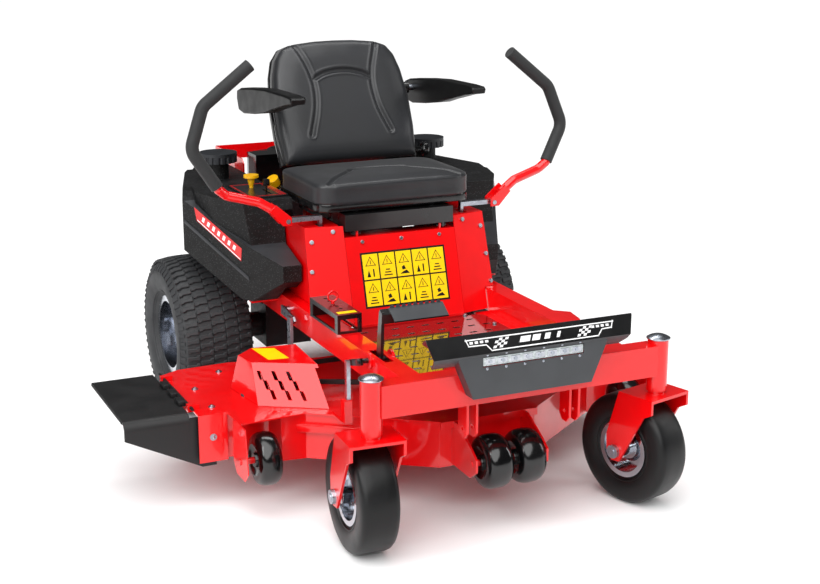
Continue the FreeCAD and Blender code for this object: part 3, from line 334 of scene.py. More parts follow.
def addBolt(bm, place, direction, radius=7, height=5):
    # Washer, hexagon head and its chamfer
    place, direction = Vector(place), Vector(direction).normalized()
    addRod(bm, place, place + direction * 1.6, radius * 1.5, 20)
    addRod(bm, place + direction * 1.0, place + direction * height, radius, 6, radius * 0.94)
    addRod(bm, place + direction * (height - 0.2), place + direction * (height + 0.8), radius * 0.8, 16,
           radius * 0.5)


def addDome(bm, place, direction, radius=8, height=4):
    place, direction = Vector(place), Vector(direction).normalized()
    profile = [(0, radius), (height * 0.5, radius * 0.86), (height * 0.85, radius * 0.5), (height, 0.02)]
    addSpun(bm, profile, place, direction, 16)


# Tyres and wheels

driveTyre = {"radius": 228.6, "bead": 102, "beadHalf": 80.7, "x": 423, "lugRows": 58,
             "lugColumns": (-76, -38, 0, 38, 76), "lugHeight": 5.5,
             "lugShape": [(-18, -9.5), (-10, -9.5), (-6, -6), (16, -6), (18, -4), (18, 9), (10, 9), (7, 4.5),
                          (-16, 4.5), (-18, 2.5)],
             "shoulderBar": [(95, -5, 203), (95, 5, 203), (106, 4, 188), (106, -4, 188)],
             "flank": [(-92, 124), (-101, 136), (-106, 152), (-107.5, 168), (-106.5, 182), (-103, 194),
                       (-97, 203)],
             "crown": (-76, -60, -44, -28, -12), "wall": 13,
             "sideRings": ((126, 93.5), (131, 98.0), (186, 105.5))}


def treadHeight(u):
    # Radius of the carcass at a distance u from the middle of the tread
    return driveTyre["radius"] - driveTyre["lugHeight"] - 1 - 10 * (abs(u) / 100) ** 3


def addLug(bm, place):
    # One block of the tread, hooked at both ends
    outline = [(a, b, 0) for a, b in driveTyre["lugShape"]]
    verts = addPlate(bm, outline, (0, 0, driveTyre["lugHeight"] + 1.5))
    top = [e for e in {e for v in verts for e in v.link_edges} if min(v.co.z for v in e.verts) > 1]
    grown = bevelEdges(bm, top, 1.5, 1)["verts"]
    bmesh.ops.transform(bm, matrix=place, verts=list({v for v in verts if v.is_valid} | set(grown)))


def makeDriveTyre(side):
    t = driveTyre
    x = sides[side] * t["x"]
    centre = Matrix.Translation((x, 0, t["radius"]))
    pitch = 2 * math.pi / t["lugRows"]
    bm = bmesh.new()
    for column, u in enumerate(t["lugColumns"]):
        slope = math.atan2(treadHeight(abs(u) + 5) - treadHeight(abs(u) - 5), 10) * (1 if u > 0 else -1)
        place = (centre @ Matrix.Rotation(pitch * 0.5 * (column % 2), 4, "X")
                 @ Matrix.Translation((u, 0, treadHeight(u) - 1.5)) @ Matrix.Rotation(-slope, 4, "Y"))
        addLug(bm, place)
    # shoulder bars that run down from the outer blocks
    for u in (-1, 1):
        bar = addPlate(bm, [(u * a, b, c) for a, b, c in t["shoulderBar"]], (u * 2, 0, 4))
        bmesh.ops.transform(bm, matrix=centre @ Matrix.Rotation(pitch / 4, 4, "X"), verts=bar)
    bmesh.ops.spin(bm, geom=bm.verts[:] + bm.edges[:] + bm.faces[:], cent=(x, 0, t["radius"]), axis=(1, 0, 0),
                   angle=pitch * (t["lugRows"] - 1), steps=t["lugRows"] - 1, use_duplicate=True,
                   use_merge=False)
    # carcass: bead, side wall, then the crown of the tread, and the same inside
    outer = [(-t["beadHalf"], t["bead"]), (-t["beadHalf"] - 1, 116), *t["flank"], (-88, treadHeight(88) - 2)]
    half = outer + [(u, treadHeight(u)) for u in t["crown"]]
    profile = half + [(-u, r) for u, r in reversed(half)]
    inner = [(u * 0.87, max(t["bead"], r - t["wall"])) for u, r in reversed(profile[1:-1])]
    addSpun(bm, profile + inner, (x, 0, t["radius"]), (1, 0, 0), 96)
    # rings moulded in the side walls
    for u in (-1, 1):
        for r, out in t["sideRings"]:
            ring = [(u * (out - 2), r - 2.2), (u * (out + 1.6), r - 0.8), (u * (out + 1.6), r + 0.8),
                    (u * (out - 2), r + 2.2)]
            addSpun(bm, ring, (x, 0, t["radius"]), (1, 0, 0), 72)
    piece = makePiece("drive_tyre_" + side + "_tread", bm, [tyreRubber], "drive_wheel_" + side, 30, False)
    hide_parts("drive_tyre_" + side)


casterTyre = {"radius": 140, "pivot": (377, -1191), "trail": 67, "swivel": {"left": 0.261, "right": -0.053},
              "flank": [(-34.7, 64), (-34.9, 74), (-40, 80), (-45, 90), (-47.3, 102), (-47.3, 117),
                        (-46, 127), (-43, 133.5), (-38, 137.6), (-31, 139.4), (-14, 140)],
              "bead": [(38, 78), (42.5, 80.5), (43, 83), (41, 85)], "bore": 64, "wall": 12}


def casterPlace(side):
    angle = casterTyre["swivel"][side]
    x = sides[side] * casterTyre["pivot"][0] - casterTyre["trail"] * math.sin(angle)
    y = casterTyre["pivot"][1] + casterTyre["trail"] * math.cos(angle)
    return (x, y, casterTyre["radius"]), (math.cos(angle), math.sin(angle), 0)


def makeCasterTyre(side):
    t = casterTyre
    centre, axis = casterPlace(side)
    bm = bmesh.new()
    profile = t["flank"] + [(-u, r) for u, r in reversed(t["flank"])]
    inner = [(u * 0.76, max(t["bore"], r - t["wall"])) for u, r in reversed(profile[1:-1])]
    addSpun(bm, profile + inner, centre, axis, 96)
    for sign in (-1, 1):
        addSpun(bm, [(sign * u, r) for u, r in t["bead"]], centre, axis, 64)
    piece = makePiece("caster_tyre_" + side + "_moulded", bm, [casterRubber], "caster_wheel_" + side, 40)
    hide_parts("caster_tyre_" + side)


# hub is in mm from the face of the wheel; tread is in shares of the half width and the radius
guideWheel = {"radius": 66, "gaugeWidth": 58, "gaugeAt": (512, -850, 148), "rollerWidth": 68,
              "rollersAt": [(-44, -1137, 168), (44, -1137, 168)],
              "hub": [(3, 8.2), (-0.3, 8.6), (-0.3, 17), (7, 19), (7, 26), (3, 34)],
              "tread": [(1, 0.6), (0.97, 0.74), (0.86, 0.87), (0.66, 0.95), (0.4, 0.99), (0.14, 1)]}


def makeGuideWheel(name, centres, width, nodes, body):
    bm = bmesh.new()
    half, radius = width / 2, guideWheel["radius"]
    flank = [(-half + u, r) for u, r in guideWheel["hub"]]
    flank += [(-half * u, radius * r) for u, r in guideWheel["tread"]]
    profile = flank + [(-u, r) for u, r in reversed(flank)]
    for centre in centres:
        addSpun(bm, profile, centre, (1, 0, 0), 56)
    piece = makePiece(name, bm, [glossPlastic], body, 32)
    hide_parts(*nodes)


for side in sides:
    makeDriveTyre(side)
    makeCasterTyre(side)
    softened("drive_rim_" + side, polishedSteel, 1.0)
    softened("caster_rim_" + side, polishedSteel, 0.8)
    gaugeX, gaugeY, gaugeZ = guideWheel["gaugeAt"]
    makeGuideWheel("gauge_wheel_" + side + "_moulded", [(sides[side] * gaugeX, gaugeY, gaugeZ)],
                   guideWheel["gaugeWidth"], ["gauge_wheel_" + side], "gauge_wheel_body_" + side)
makeGuideWheel("front_rollers_moulded", guideWheel["rollersAt"], guideWheel["rollerWidth"], ["front_rollers"],
               "rollers")
print("wheels done")


# Painted steel and plastic from the CAD frame

# Each number is the width of the rounded edges in mm
redNodes = {"frame_rail_left": 2.0, "frame_rail_right": 2.0, "front_beam": 2.5, "rear_frame": 1.0,
            "tower": 1.2, "centre_panel": 1.0, "belt_covers": 1.2, "engine_guard": 1.5}
# Where the finish changes on a piece that has two, in mm, and in metres where the name says so; the ledge
# values pick the up-facing fender faces that carry painted light
split = {"hangerAbove": 302, "hangerX": 326, "hangerHalf": 14, "nutAbove": 430, "axleBelow": 164,
         "axleBeyond": 67.6, "litLedgeFacing": 0.35, "litLedgeBelow": 655, "litLedgeArea": 2e-4,
         "bandMetres": 0.475, "bandFrontMetres": -1.256, "treadFromMetres": -0.254, "treadFacing": 0.2}
for node, edge in redNodes.items():
    softened(node, powderRed, edge)


def machinePoint(face):
    return (face.calc_center_median() - axle) * 1000


def isHanger(face):
    # The plated links that carry the deck stand on its red brackets
    place = machinePoint(face)
    beside = abs(abs(place.x) - split["hangerX"]) < split["hangerHalf"]
    return 1 if place.z > split["hangerAbove"] and beside else 0


softened("deck_shell", None, 1.4, finishes=[powderRed, zincPlate], pick=isHanger)
for side in sides:
    middle, along = casterPlace(side)

    def isPlated(face, middle=Vector(middle), along=Vector(along)):
        # Dome nut on the swivel, axle and its heads
        place = machinePoint(face)
        head = place.z < split["axleBelow"] and abs((place - middle).dot(along)) > split["axleBeyond"]
        return 1 if place.z > split["nutAbove"] or head else 0

    softened("caster_fork_" + side, None, 2.0, finishes=[powderRed, zincPlate], pick=isPlated)
blackNodes = {"height_selector": 1.0, "control_panel": 1.2, "seat_base": 1.0, "muffler": 1.5}
for node, edge in blackNodes.items():
    softened(node, powderBlack, edge)
plainNodes = {
    "floor_pan": (glossFloor, 0.6), "battery": (glossPlastic, 2.5),
    "engine_block": (castAluminium, 1.2), "engine_shroud": (glossPlastic, 4.0), "transaxles": (castIron, 2.5),
    "throttle_lever": (glossPlastic, 1.5), "oil_fill_cap": (yellowPlastic, 1.5),
    "control_arm_left": (zincPlate, 1.0), "control_arm_right": (zincPlate, 1.0),
    "lift_shaft": (zincPlate, 1.0), "selector_pin": (powderRed, 0), "lever_left": (powderRed, 1.0),
    "lever_right": (powderRed, 1.0), "grip_left": (gripFoam, 2.0), "grip_right": (gripFoam, 2.0),
    "fuel_cap_left": (capPlastic, 2.0), "fuel_cap_right": (capPlastic, 2.0),
    "blade_centre": (zincPlate, 0.8), "blade_left": (zincPlate, 0.8), "blade_right": (zincPlate, 0.8),
    "deck_belt": (chuteRubber, 1.0), "drive_belt": (chuteRubber, 1.0), "pto_knob": (yellowPlastic, 2.0),
    "panel_bolts": (zincPlate, 1.2)}
for node, (finish, edge) in plainNodes.items():
    softened(node, finish, edge)


def paintedLitLedgeOrWall(face):
    # Lighter smooth graphite on the sloping ledges that face up, as painted light from above; textured black
    # elsewhere
    flat = face.normal.z > split["litLedgeFacing"] and face.calc_area() > split["litLedgeArea"]
    return 1 if flat and machinePoint(face).z < split["litLedgeBelow"] else 0


for side in sides:
    softened("fender_" + side, None, 4.0, 3, finishes=[paintedGlintPlastic, paintedLitLedgePlastic], pick=paintedLitLedgeOrWall)


def plateFinish(face):
    # Grey on the foot guard, black on the band over it
    centre = face.calc_center_median() - axle
    return 1 if centre.z < split["bandMetres"] and centre.y > split["bandFrontMetres"] else 0


softened("front_plate", None, 1.6, finishes=[powderBlack, powderGrey], pick=plateFinish)


def pedalFinish(face):
    centre = face.calc_center_median() - axle
    return 1 if centre.x > split["treadFromMetres"] and face.normal.z > split["treadFacing"] else 0


softened("lift_pedal", None, 1.2, finishes=[powderBlack, powderGrey], pick=pedalFinish)
print("frame finished")


# Seat

# outline of the back: across in mm, up in mm, and up as a share of its height
seatBack = {"foot": (-205, 738), "top": (-58, 1075), "thick": 58, "corner": 24, "swell": 9,
            "outline": [(-200, 6, 0), (-207, 0, 0.25), (-207, 0, 0.5), (-196, 0, 0.72), (-182, 0, 0.85),
                        (-160, 0, 0.93), (-125, 0, 0.965), (-60, 0, 0.982), (0, 0, 0.985)],
            "grooves": [[(-128, 353), (-113, 317), (-97, 272), (-88, 229), (-88, 189), (-96, 145),
                         (-118, 80)],
                        [(128, 353), (113, 317), (97, 272), (90, 229), (92, 189), (100, 145), (124, 80)],
                        [(-86, 243), (-50, 259), (2, 265), (54, 257), (88, 240)]],
            "grooveHalf": 9, "grooveDepth": 7.5, "shellFrom": 40, "shellThick": 26,
            "spines": (-150, 120), "spineWide": 30, "armStubs": (-226, 205), "stubAt": (-62, 915),
            "knobAt": (205, 40, 26),
            "knob": [(0, 0.02), (0, 9), (22, 9), (22, 17), (25, 20), (36, 20), (40, 16), (40, 0.02)]}
seatPad = {"outline": [(-192, -497), (192, -497), (226, -466), (224, -196), (-224, -196), (-226, -466)],
           "low": 676, "high": 728, "corner": 20, "swell": 12,
           "grooves": [[(-190, -480), (-140, -425), (-92, -372), (-75, -350), (-36, -338), (30, -338),
                        (75, -350), (92, -372), (140, -425), (190, -480)]],
           "grooveHalf": 8, "grooveDepth": 6.0, "panLow": 656, "panHigh": 23,
           "pan": [(-205, -492), (205, -492), (229, -458), (226, -176), (-226, -176), (-229, -458)],
           "ear": (152, 158, -240, -138, 660, 702), "hingePin": (116, 164, -150, 690)}
cloth = {"frames": 20, "stiffness": 40, "bending": 2, "pressure": 4.0, "voxel": 0.005, "levellings": 40}


def pumpUp(piece, swell):
    # Foam under a tight cover: the shape swells a little, evenly, under cloth pressure
    remesh = piece.modifiers.new("even", "REMESH")
    remesh.mode = "VOXEL"
    remesh.voxel_size = cloth["voxel"]
    applyModifiers(piece)
    before = [(v.co.copy(), v.normal.copy()) for v in piece.data.vertices]
    foam = piece.modifiers.new("foam", "CLOTH")
    foam.settings.use_pressure = True
    foam.settings.uniform_pressure_force = cloth["pressure"]
    foam.settings.effector_weights.gravity = 0
    foam.settings.tension_stiffness = cloth["stiffness"]
    foam.settings.compression_stiffness = cloth["stiffness"]
    foam.settings.bending_stiffness = cloth["bending"]
    foam.point_cache.frame_start = 1
    foam.point_cache.frame_end = cloth["frames"]
    for step in range(1, cloth["frames"] + 1):
        bpy.context.scene.frame_set(step)
    applyModifiers(piece)
    bpy.context.scene.frame_set(1)
    evenSwell(piece.data, before, swell * mm)
    bm = bmesh.new()
    bm.from_mesh(piece.data)
    for _ in range(2):
        bmesh.ops.smooth_vert(bm, verts=bm.verts, factor=0.5, use_axis_x=True, use_axis_y=True,
                              use_axis_z=True)
    bm.to_mesh(piece.data)
    bm.free()
    subdivision = piece.modifiers.new("fine", "SUBSURF")
    subdivision.levels = subdivision.render_levels = 1
    applyModifiers(piece)
    for face in piece.data.polygons:
        face.use_smooth = True


def evenSwell(mesh, before, limit):
    # How far each point is pressed out, levelled with its neighbours: the cover is taut, not creased
    out = [max(0, min(limit, (v.co - old).dot(normal))) for v, (old, normal) in zip(mesh.vertices, before)]
    edges = [tuple(edge.vertices) for edge in mesh.edges]
    for _ in range(cloth["levellings"]):
        total, count = out[:], [1] * len(out)
        for a, b in edges:
            total[a] += out[b]
            total[b] += out[a]
            count[a] += 1
            count[b] += 1
        out = [t / c for t, c in zip(total, count)]
    for vertex, (old, normal), move in zip(mesh.vertices, before, out):
        vertex.co = old + normal * move


def applyModifiers(piece):
    graph = bpy.context.evaluated_depsgraph_get()
    mesh = bpy.data.meshes.new_from_object(piece.evaluated_get(graph))
    old = piece.data
    piece.modifiers.clear()
    piece.data = mesh
    bpy.data.meshes.remove(old)


def distanceToLine(point, line):
    best = 1e9
    for a, b in zip(line, line[1:]):
        ax, ay = a
        dx, dy = b[0] - ax, b[1] - ay
        along = max(0, min(1, ((point[0] - ax) * dx + (point[1] - ay) * dy) / (dx * dx + dy * dy)))
        best = min(best, math.hypot(point[0] - ax - dx * along, point[1] - ay - dy * along))
    return best


def smoothLine(points, steps=8):
    # A curve through the points, for stitched and moulded lines
    result = []
    padded = [points[0]] + list(points) + [points[-1]]
    for p0, p1, p2, p3 in zip(padded, padded[1:], padded[2:], padded[3:]):
        for step in range(steps):
            t = step / steps
            result.append(tuple(0.5 * ((2 * b) + (c - a) * t + (2 * a - 5 * b + 4 * c - d) * t * t
                                       + (3 * b - a - 3 * c + d) * t ** 3)
                                for a, b, c, d in zip(p0, p1, p2, p3)))
    return result + [tuple(points[-1])]


def pressGrooves(piece, settings, flatten, facing):
    # Moulded channels: the cover dips along each line and rises a little at both lips
    lines = [smoothLine(line) for line in settings["grooves"]]
    half, depth = settings["grooveHalf"], settings["grooveDepth"]
    for vertex in piece.data.vertices:
        if vertex.normal.dot(facing) < 0.55:
            continue
        point = flatten((vertex.co - axle) * 1000)
        distance = min(distanceToLine(point, line) for line in lines)
        if distance < half * 2:
            t = distance / half
            dip = -depth * math.cos(min(t, 1) * math.pi / 2) ** 1.2 if t < 1 else 0
            lip = 1.3 * math.exp(-((t - 1.3) / 0.28) ** 2)
            vertex.co += facing * (dip + lip) * mm


def makeSeatBack():
    s = seatBack
    rise = math.hypot(s["top"][0] - s["foot"][0], s["top"][1] - s["foot"][1])
    lean = math.atan2(s["top"][0] - s["foot"][0], s["top"][1] - s["foot"][1])
    place = Matrix.Translation((0, *s["foot"])) @ Matrix.Rotation(-lean, 4, "X")
    outline = [(x, up + rise * share) for x, up, share in s["outline"]]
    outline += [(-x, z) for x, z in reversed(outline[:-1])]
    bm = bmesh.new()
    addPlate(bm, [(x, 6, z) for x, z in outline], (0, s["thick"] - 8, 0))
    bevelEdges(bm, [e for e in bm.edges if abs(e.verts[0].co.y - e.verts[1].co.y) < 1], s["corner"], 5)
    bmesh.ops.transform(bm, matrix=place, verts=bm.verts)
    pad = makePiece("seat_back_pad", bm, [seatVinyl], "seat_back_body", 60)
    pumpUp(pad, s["swell"])
    facing = place.to_3x3() @ Vector((0, -1, 0))
    back = place.inverted()
    pressGrooves(pad, s, lambda p: ((back @ p).x, (back @ p).z), facing)
    # moulded shell behind the pad with its steel spines
    bm = bmesh.new()
    shell = [(x * 1.035, z * 1.006 + 1) for x, z in outline]
    addPlate(bm, [(x, s["shellFrom"], z) for x, z in shell], (0, s["shellThick"], 0))
    bevelEdges(bm, [e for e in bm.edges if abs(e.verts[0].co.y - e.verts[1].co.y) < 1], 7, 3)
    bmesh.ops.transform(bm, matrix=place, verts=bm.verts)
    makePiece("seat_back_shell", bm, [glossPlastic], "seat_back_body", 40)
    bm = bmesh.new()
    for x in s["spines"]:
        spine = addBox(bm, x, x + s["spineWide"], 66, 84, -60, rise * 0.6)
        bevelEdges(bm, {e for v in spine for e in v.link_edges}, 3, 2)
    bmesh.ops.transform(bm, matrix=place, verts=bm.verts)
    # stubs that carry the armrests
    for x in s["armStubs"]:
        addRod(bm, (x, *s["stubAt"]), (x + 21, *s["stubAt"]), 17, 32)
    makePiece("seat_back_spines", bm, [powderBlack], "seat_back_body", 40)
    # recline knob on the left
    bm = bmesh.new()
    addSpun(bm, s["knob"], place @ Vector(s["knobAt"]), (1, 0, 0), 24)
    makePiece("recline_knob", bm, [glossPlastic], "seat_back_body", 40)
    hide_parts("seat_back")


def makeSeatPad():
    s = seatPad
    bm = bmesh.new()
    addPlate(bm, [(x, y, s["low"]) for x, y in s["outline"]], (0, 0, s["high"] - s["low"]))
    upright = [e for e in bm.edges if abs(e.verts[0].co.z - e.verts[1].co.z) > 1]
    bevelEdges(bm, upright, 26, 5)
    top = [e for e in bm.edges if min(v.co.z for v in e.verts) > s["high"] - 1]
    bevelEdges(bm, top, s["corner"], 5)
    pad = makePiece("seat_cushion_pad", bm, [seatVinyl], "seat", 60)
    pumpUp(pad, s["swell"])
    pressGrooves(pad, s, lambda p: (p.x, p.y), Vector((0, 0, 1)))
    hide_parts("seat_cushion")
    # pan under the cushion, with the ears and pins of the hinge
    bm = bmesh.new()
    addPlate(bm, [(x, y, s["panLow"]) for x, y in s["pan"]], (0, 0, s["panHigh"]))
    bevelEdges(bm, [e for e in bm.edges if abs(e.verts[0].co.z - e.verts[1].co.z) > 1], 22, 4)
    bevelEdges(bm, [e for e in bm.edges if abs(e.verts[0].co.z - e.verts[1].co.z) < 0.1], 4, 2)
    near, far, *earRest = s["ear"]
    pinStart, pinEnd, *pinAt = s["hingePin"]
    for sign in (-1, 1):
        ear = addBox(bm, min(sign * near, sign * far), max(sign * near, sign * far), *earRest)
        bevelEdges(bm, {e for v in ear for e in v.link_edges}, 2, 2)
        addRod(bm, (sign * pinStart, *pinAt), (sign * pinEnd, *pinAt), 5, 20)
    makePiece("seat_pan", bm, [glossPlastic], "seat", 40)


makeSeatBack()
makeSeatPad()
print("seat done")


# Labels and decals

def towerFront(x, z, out=0.0):
    # A point on the leaning front of the tower, or out in front of it
    y = -502 - 0.2967 * (622 - z) + 0.219 * max(0, abs(x) - 162)
    return Vector((x, y - out, z))


# signs holds three plain marks; each outline is measured from the foot of its cell
labels = {"left": -121, "right": 121, "low": 408, "high": 545, "columns": 5, "rows": 2, "gap": 4, "border": 3,
          "margin": 6, "triangleHalf": 15, "triangleHigh": 24, "line": 1.6,
          "signs": [
              [[(-12 + 3 * n, 7 * n), (12 - 3 * n, 7 * n), (12 - 3 * n, 7 * n + 3), (-12 + 3 * n, 7 * n + 3)]
               for n in range(3)],
              [[(-14, 0), (14, 0), (6, 9), (-4, 6)], [(-6, 10), (4, 12), (0, 22), (-8, 18)]],
              [[(-13, 0), (-2, 0), (-7, 18)], [(5, 0), (9, 0), (9, 20), (5, 20)]]]}


def makeLabels():
    s = labels
    normal = Vector((0, -1, 0.2967)).normalized()
    back, cells, marks = bmesh.new(), bmesh.new(), bmesh.new()

    def flat(bm, points, out, thick=0.25):
        addPlate(bm, [towerFront(x, z) + normal * out for x, z in points], normal * thick)

    def rectangle(x0, z0, x1, z1):
        return [(x0, z0), (x1, z0), (x1, z1), (x0, z1)]

    edge, margin = s["border"], s["margin"]
    flat(back, rectangle(s["left"] - edge, s["low"] - edge, s["right"] + edge, s["high"] + edge), 0.1)
    width = (s["right"] - s["left"]) / s["columns"]
    height = (s["high"] - s["low"]) / s["rows"]
    for column in range(s["columns"]):
        for row in range(s["rows"]):
            x0, z0 = s["left"] + column * width + s["gap"] / 2, s["low"] + row * height + s["gap"] / 2
            x1, z1 = x0 + width - s["gap"], z0 + height - s["gap"]
            flat(cells, rectangle(x0, z0, x1, z1), 0.4)
            # an open triangle above a plain generic sign
            middle, top, low = (x0 + x1) / 2, z1 - margin, z0 + margin
            foot = top - s["triangleHigh"]
            outer = [(middle - s["triangleHalf"], foot), (middle + s["triangleHalf"], foot), (middle, top)]
            for (ax, az), (bx, bz) in zip(outer, outer[1:] + outer[:1]):
                side = Vector((bx - ax, 0, bz - az)).normalized()
                inward = Vector((-side.z, 0, side.x)) * s["line"]
                stroke = [(ax, az), (bx, bz), (bx + inward.x, bz + inward.z), (ax + inward.x, az + inward.z)]
                flat(marks, stroke, 0.7, 0.15)
            flat(marks, rectangle(middle - 1, top - 20, middle + 1, top - 10), 0.7, 0.15)
            for outline in s["signs"][(column + 2 * row) % 3]:
                flat(marks, [(middle + x, low + z) for x, z in outline], 0.7, 0.15)
    for name, bm, finish in (("label_backing", back, filmBlack), ("label_cells", cells, filmYellow),
                             ("label_signs", marks, filmBlack)):
        makePiece(name, bm, [finish], "chassis", 30)


makeLabels()


# Small parts

chute = {"outer": -826, "hinge": -664, "wallEnd": -600, "rear": (-395, -425), "front": -738, "top": 245,
         "thick": 5, "bend": 24, "low": 106, "slope": ((-826, 200), (-640, 108)), "wallTop": 236,
         "cornerCut": (-30, 162, 0), "lip": (-712, -400, 240), "knuckles": (-668, -600, -530),
         "knuckle": (-672, -650, 40, 243, 257), "rod": (-652, -722, -422, 252)}
armrest = {"profile": [(-5, 905), (-8, 928), (-40, 938), (-150, 950), (-250, 958), (-400, 961), (-448, 960),
                       (-456, 953), (-452, 941), (-405, 933), (-300, 908), (-240, 892), (-150, 878),
                       (-60, 868), (-20, 873)],
           "inner": 240, "outer": 284, "pinAt": (-62, 915)}
frontMark = {"ring": [(-172, 512), (-166, 497), (-122, 496), (-110, 483), (168, 483), (180, 496), (206, 497),
                      (212, 512)], "line": 2.4, "middle": (20, 498),
             "chequers": (-106, 112), "chequersLow": 488, "chequerWide": 8, "chequerHigh": 5, "lean": 3,
             "dashes": (-162, -149, -136, -123, 152, 165, 178, 191), "dash": (8, 502, 507),
             "bars": (26, 20, 14, 8), "barsFrom": -38, "barPitch": 32, "bar": (6, 493, 505)}
plateSlope = 0.42


def makeChute():
    c = chute
    bend = [(c["front"] + c["bend"] * (1 - math.sin(a)), c["top"] - c["bend"] * (1 - math.cos(a)))
            for a in (math.radians(d) for d in range(0, 91, 15))]
    outside = [(c["rear"][0], c["top"])] + bend + [(c["front"], c["low"])]
    inside = [(c["rear"][0], c["top"] - c["thick"])]
    inside += [(y + c["thick"] * math.sin(math.radians(d)), z - c["thick"] * math.cos(math.radians(d)))
               for (y, z), d in zip(bend, range(0, 91, 15))] + [(c["front"] + c["thick"], c["low"])]
    bm = bmesh.new()
    addPlate(bm, [(c["outer"], y, z) for y, z in outside + inside[::-1]], (c["hinge"] - c["outer"], 0, 0))
    addBox(bm, c["hinge"], c["wallEnd"], c["front"], c["front"] + c["thick"], c["low"], c["wallTop"])
    (x0, z0), (x1, z1) = c["slope"]
    cuts = [((x0, 0, z0), (z1 - z0, 0, x0 - x1)), ((c["outer"], c["rear"][0], 0), c["cornerCut"])]
    for place, normal in cuts:
        geom = bm.verts[:] + bm.edges[:] + bm.faces[:]
        cut = bmesh.ops.bisect_plane(bm, geom=geom, plane_co=place, plane_no=normal, clear_outer=True)
        edges = [e for e in cut["geom_cut"] if isinstance(e, bmesh.types.BMEdge)]
        bmesh.ops.holes_fill(bm, edges=edges)
    # rolled outer lip, hinge knuckles and rod
    lipFront, lipRear, lipZ = c["lip"]
    addRod(bm, (c["outer"] + 3, lipFront, lipZ), (c["outer"] + 3, lipRear, lipZ), 5, 16)
    x0, x1, long, z0, z1 = c["knuckle"]
    for y in c["knuckles"]:
        knuckle = addBox(bm, x0, x1, y, y + long, z0, z1)
        bevelEdges(bm, {e for v in knuckle for e in v.link_edges}, 2, 2)
    rodX, rodFront, rodRear, rodZ = c["rod"]
    addRod(bm, (rodX, rodFront, rodZ), (rodX, rodRear, rodZ), 4, 16)
    piece = makePiece("discharge_chute_moulded", bm, [chuteRubber], "chute", 40)
    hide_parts("discharge_chute")


def makeArmrest(side):
    a = armrest
    sign = sides[side]
    bm = bmesh.new()
    pad = addPlate(bm, [(sign * a["inner"], y, z) for y, z in a["profile"]],
                   (sign * (a["outer"] - a["inner"]), 0, 0))
    rims = {e for v in pad for e in v.link_edges if abs(e.verts[0].co.x - e.verts[1].co.x) < 0.1}
    bevelEdges(bm, rims, 6, 4)
    moulding = makePiece("armrest_" + side + "_moulded", bm, [armrestFoam], "armrest_body_" + side, 50)
    evenNormals(moulding)
    bm = bmesh.new()
    addRod(bm, (sign * 209, *a["pinAt"]), (sign * (a["inner"] + 2), *a["pinAt"]), 9, 32)
    makePiece("armrest_" + side + "_pin", bm, [zincPlate], "armrest_body_" + side, 40)
    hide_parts("armrest_" + side)


def plateFront(x, z, out):
    # A point on the leaning face of the band over the foot guard
    return Vector((x, -1238 - (523 - z) * 19 / 45 - out, z + out * plateSlope))


def addFlat(bm, points, out=0.3, thick=0.3):
    addPlate(bm, [plateFront(x, z, out) for x, z in points], (0, -thick, thick * plateSlope))


def makeFrontMark():
    # Printed outline with chequers and plain bars; no words
    m = frontMark
    width, middle = m["line"], Vector(m["middle"])
    bm = bmesh.new()
    for a, b in zip(m["ring"], m["ring"][1:] + m["ring"][:1]):
        a, b = Vector(a), Vector(b)
        along = (b - a).normalized()
        inward = Vector((-along.y, along.x)) * width
        if inward.dot(middle - a) < 0:
            inward = -inward
        tip = along * width * 0.4
        addFlat(bm, [a - tip, b + tip, b + tip + inward, a - tip + inward])
    wide, high, lean = m["chequerWide"], m["chequerHigh"], m["lean"]
    for start in m["chequers"]:
        for row in range(4):
            for column in range(4):
                if (row + column) % 2 == 0:
                    x, z = start + column * wide + row * lean, m["chequersLow"] + row * high
                    addFlat(bm, [(x, z), (x + wide, z), (x + wide + lean, z + high), (x + lean, z + high)])
    wide, low, high = m["dash"]
    for x in m["dashes"]:
        addFlat(bm, [(x, low), (x + wide, low), (x + wide, high), (x, high)])
    lean, low, high = m["bar"]
    for index, length in enumerate(m["bars"]):
        x = m["barsFrom"] + index * m["barPitch"]
        addFlat(bm, [(x, low), (x + length, low), (x + length + lean, high), (x + lean, high)])
    makePiece("front_plate_print", bm, [filmWhite], "chassis", 30)


# each box is x, y and z from and to
lightBar = {"lens": (-130, 130, -1252, -1236, 448, 468), "shelf": (-140, 140, -1236, -1231, 463, 476),
            "bezel": (-130.9, 130.9, -1250.5, -1237, 446.2, 469.8), "lamps": 8, "firstLamp": -112,
            "pitch": 32, "cupHalf": 12, "cup": (-1253, -1251.6, 451, 465), "bulb": (-1254.6, -1252.8, 458),
            "screwsX": (-120, -72, -24, 24, 72, 120), "screwsZ": (441.5, 474.5), "screwY": -1253}


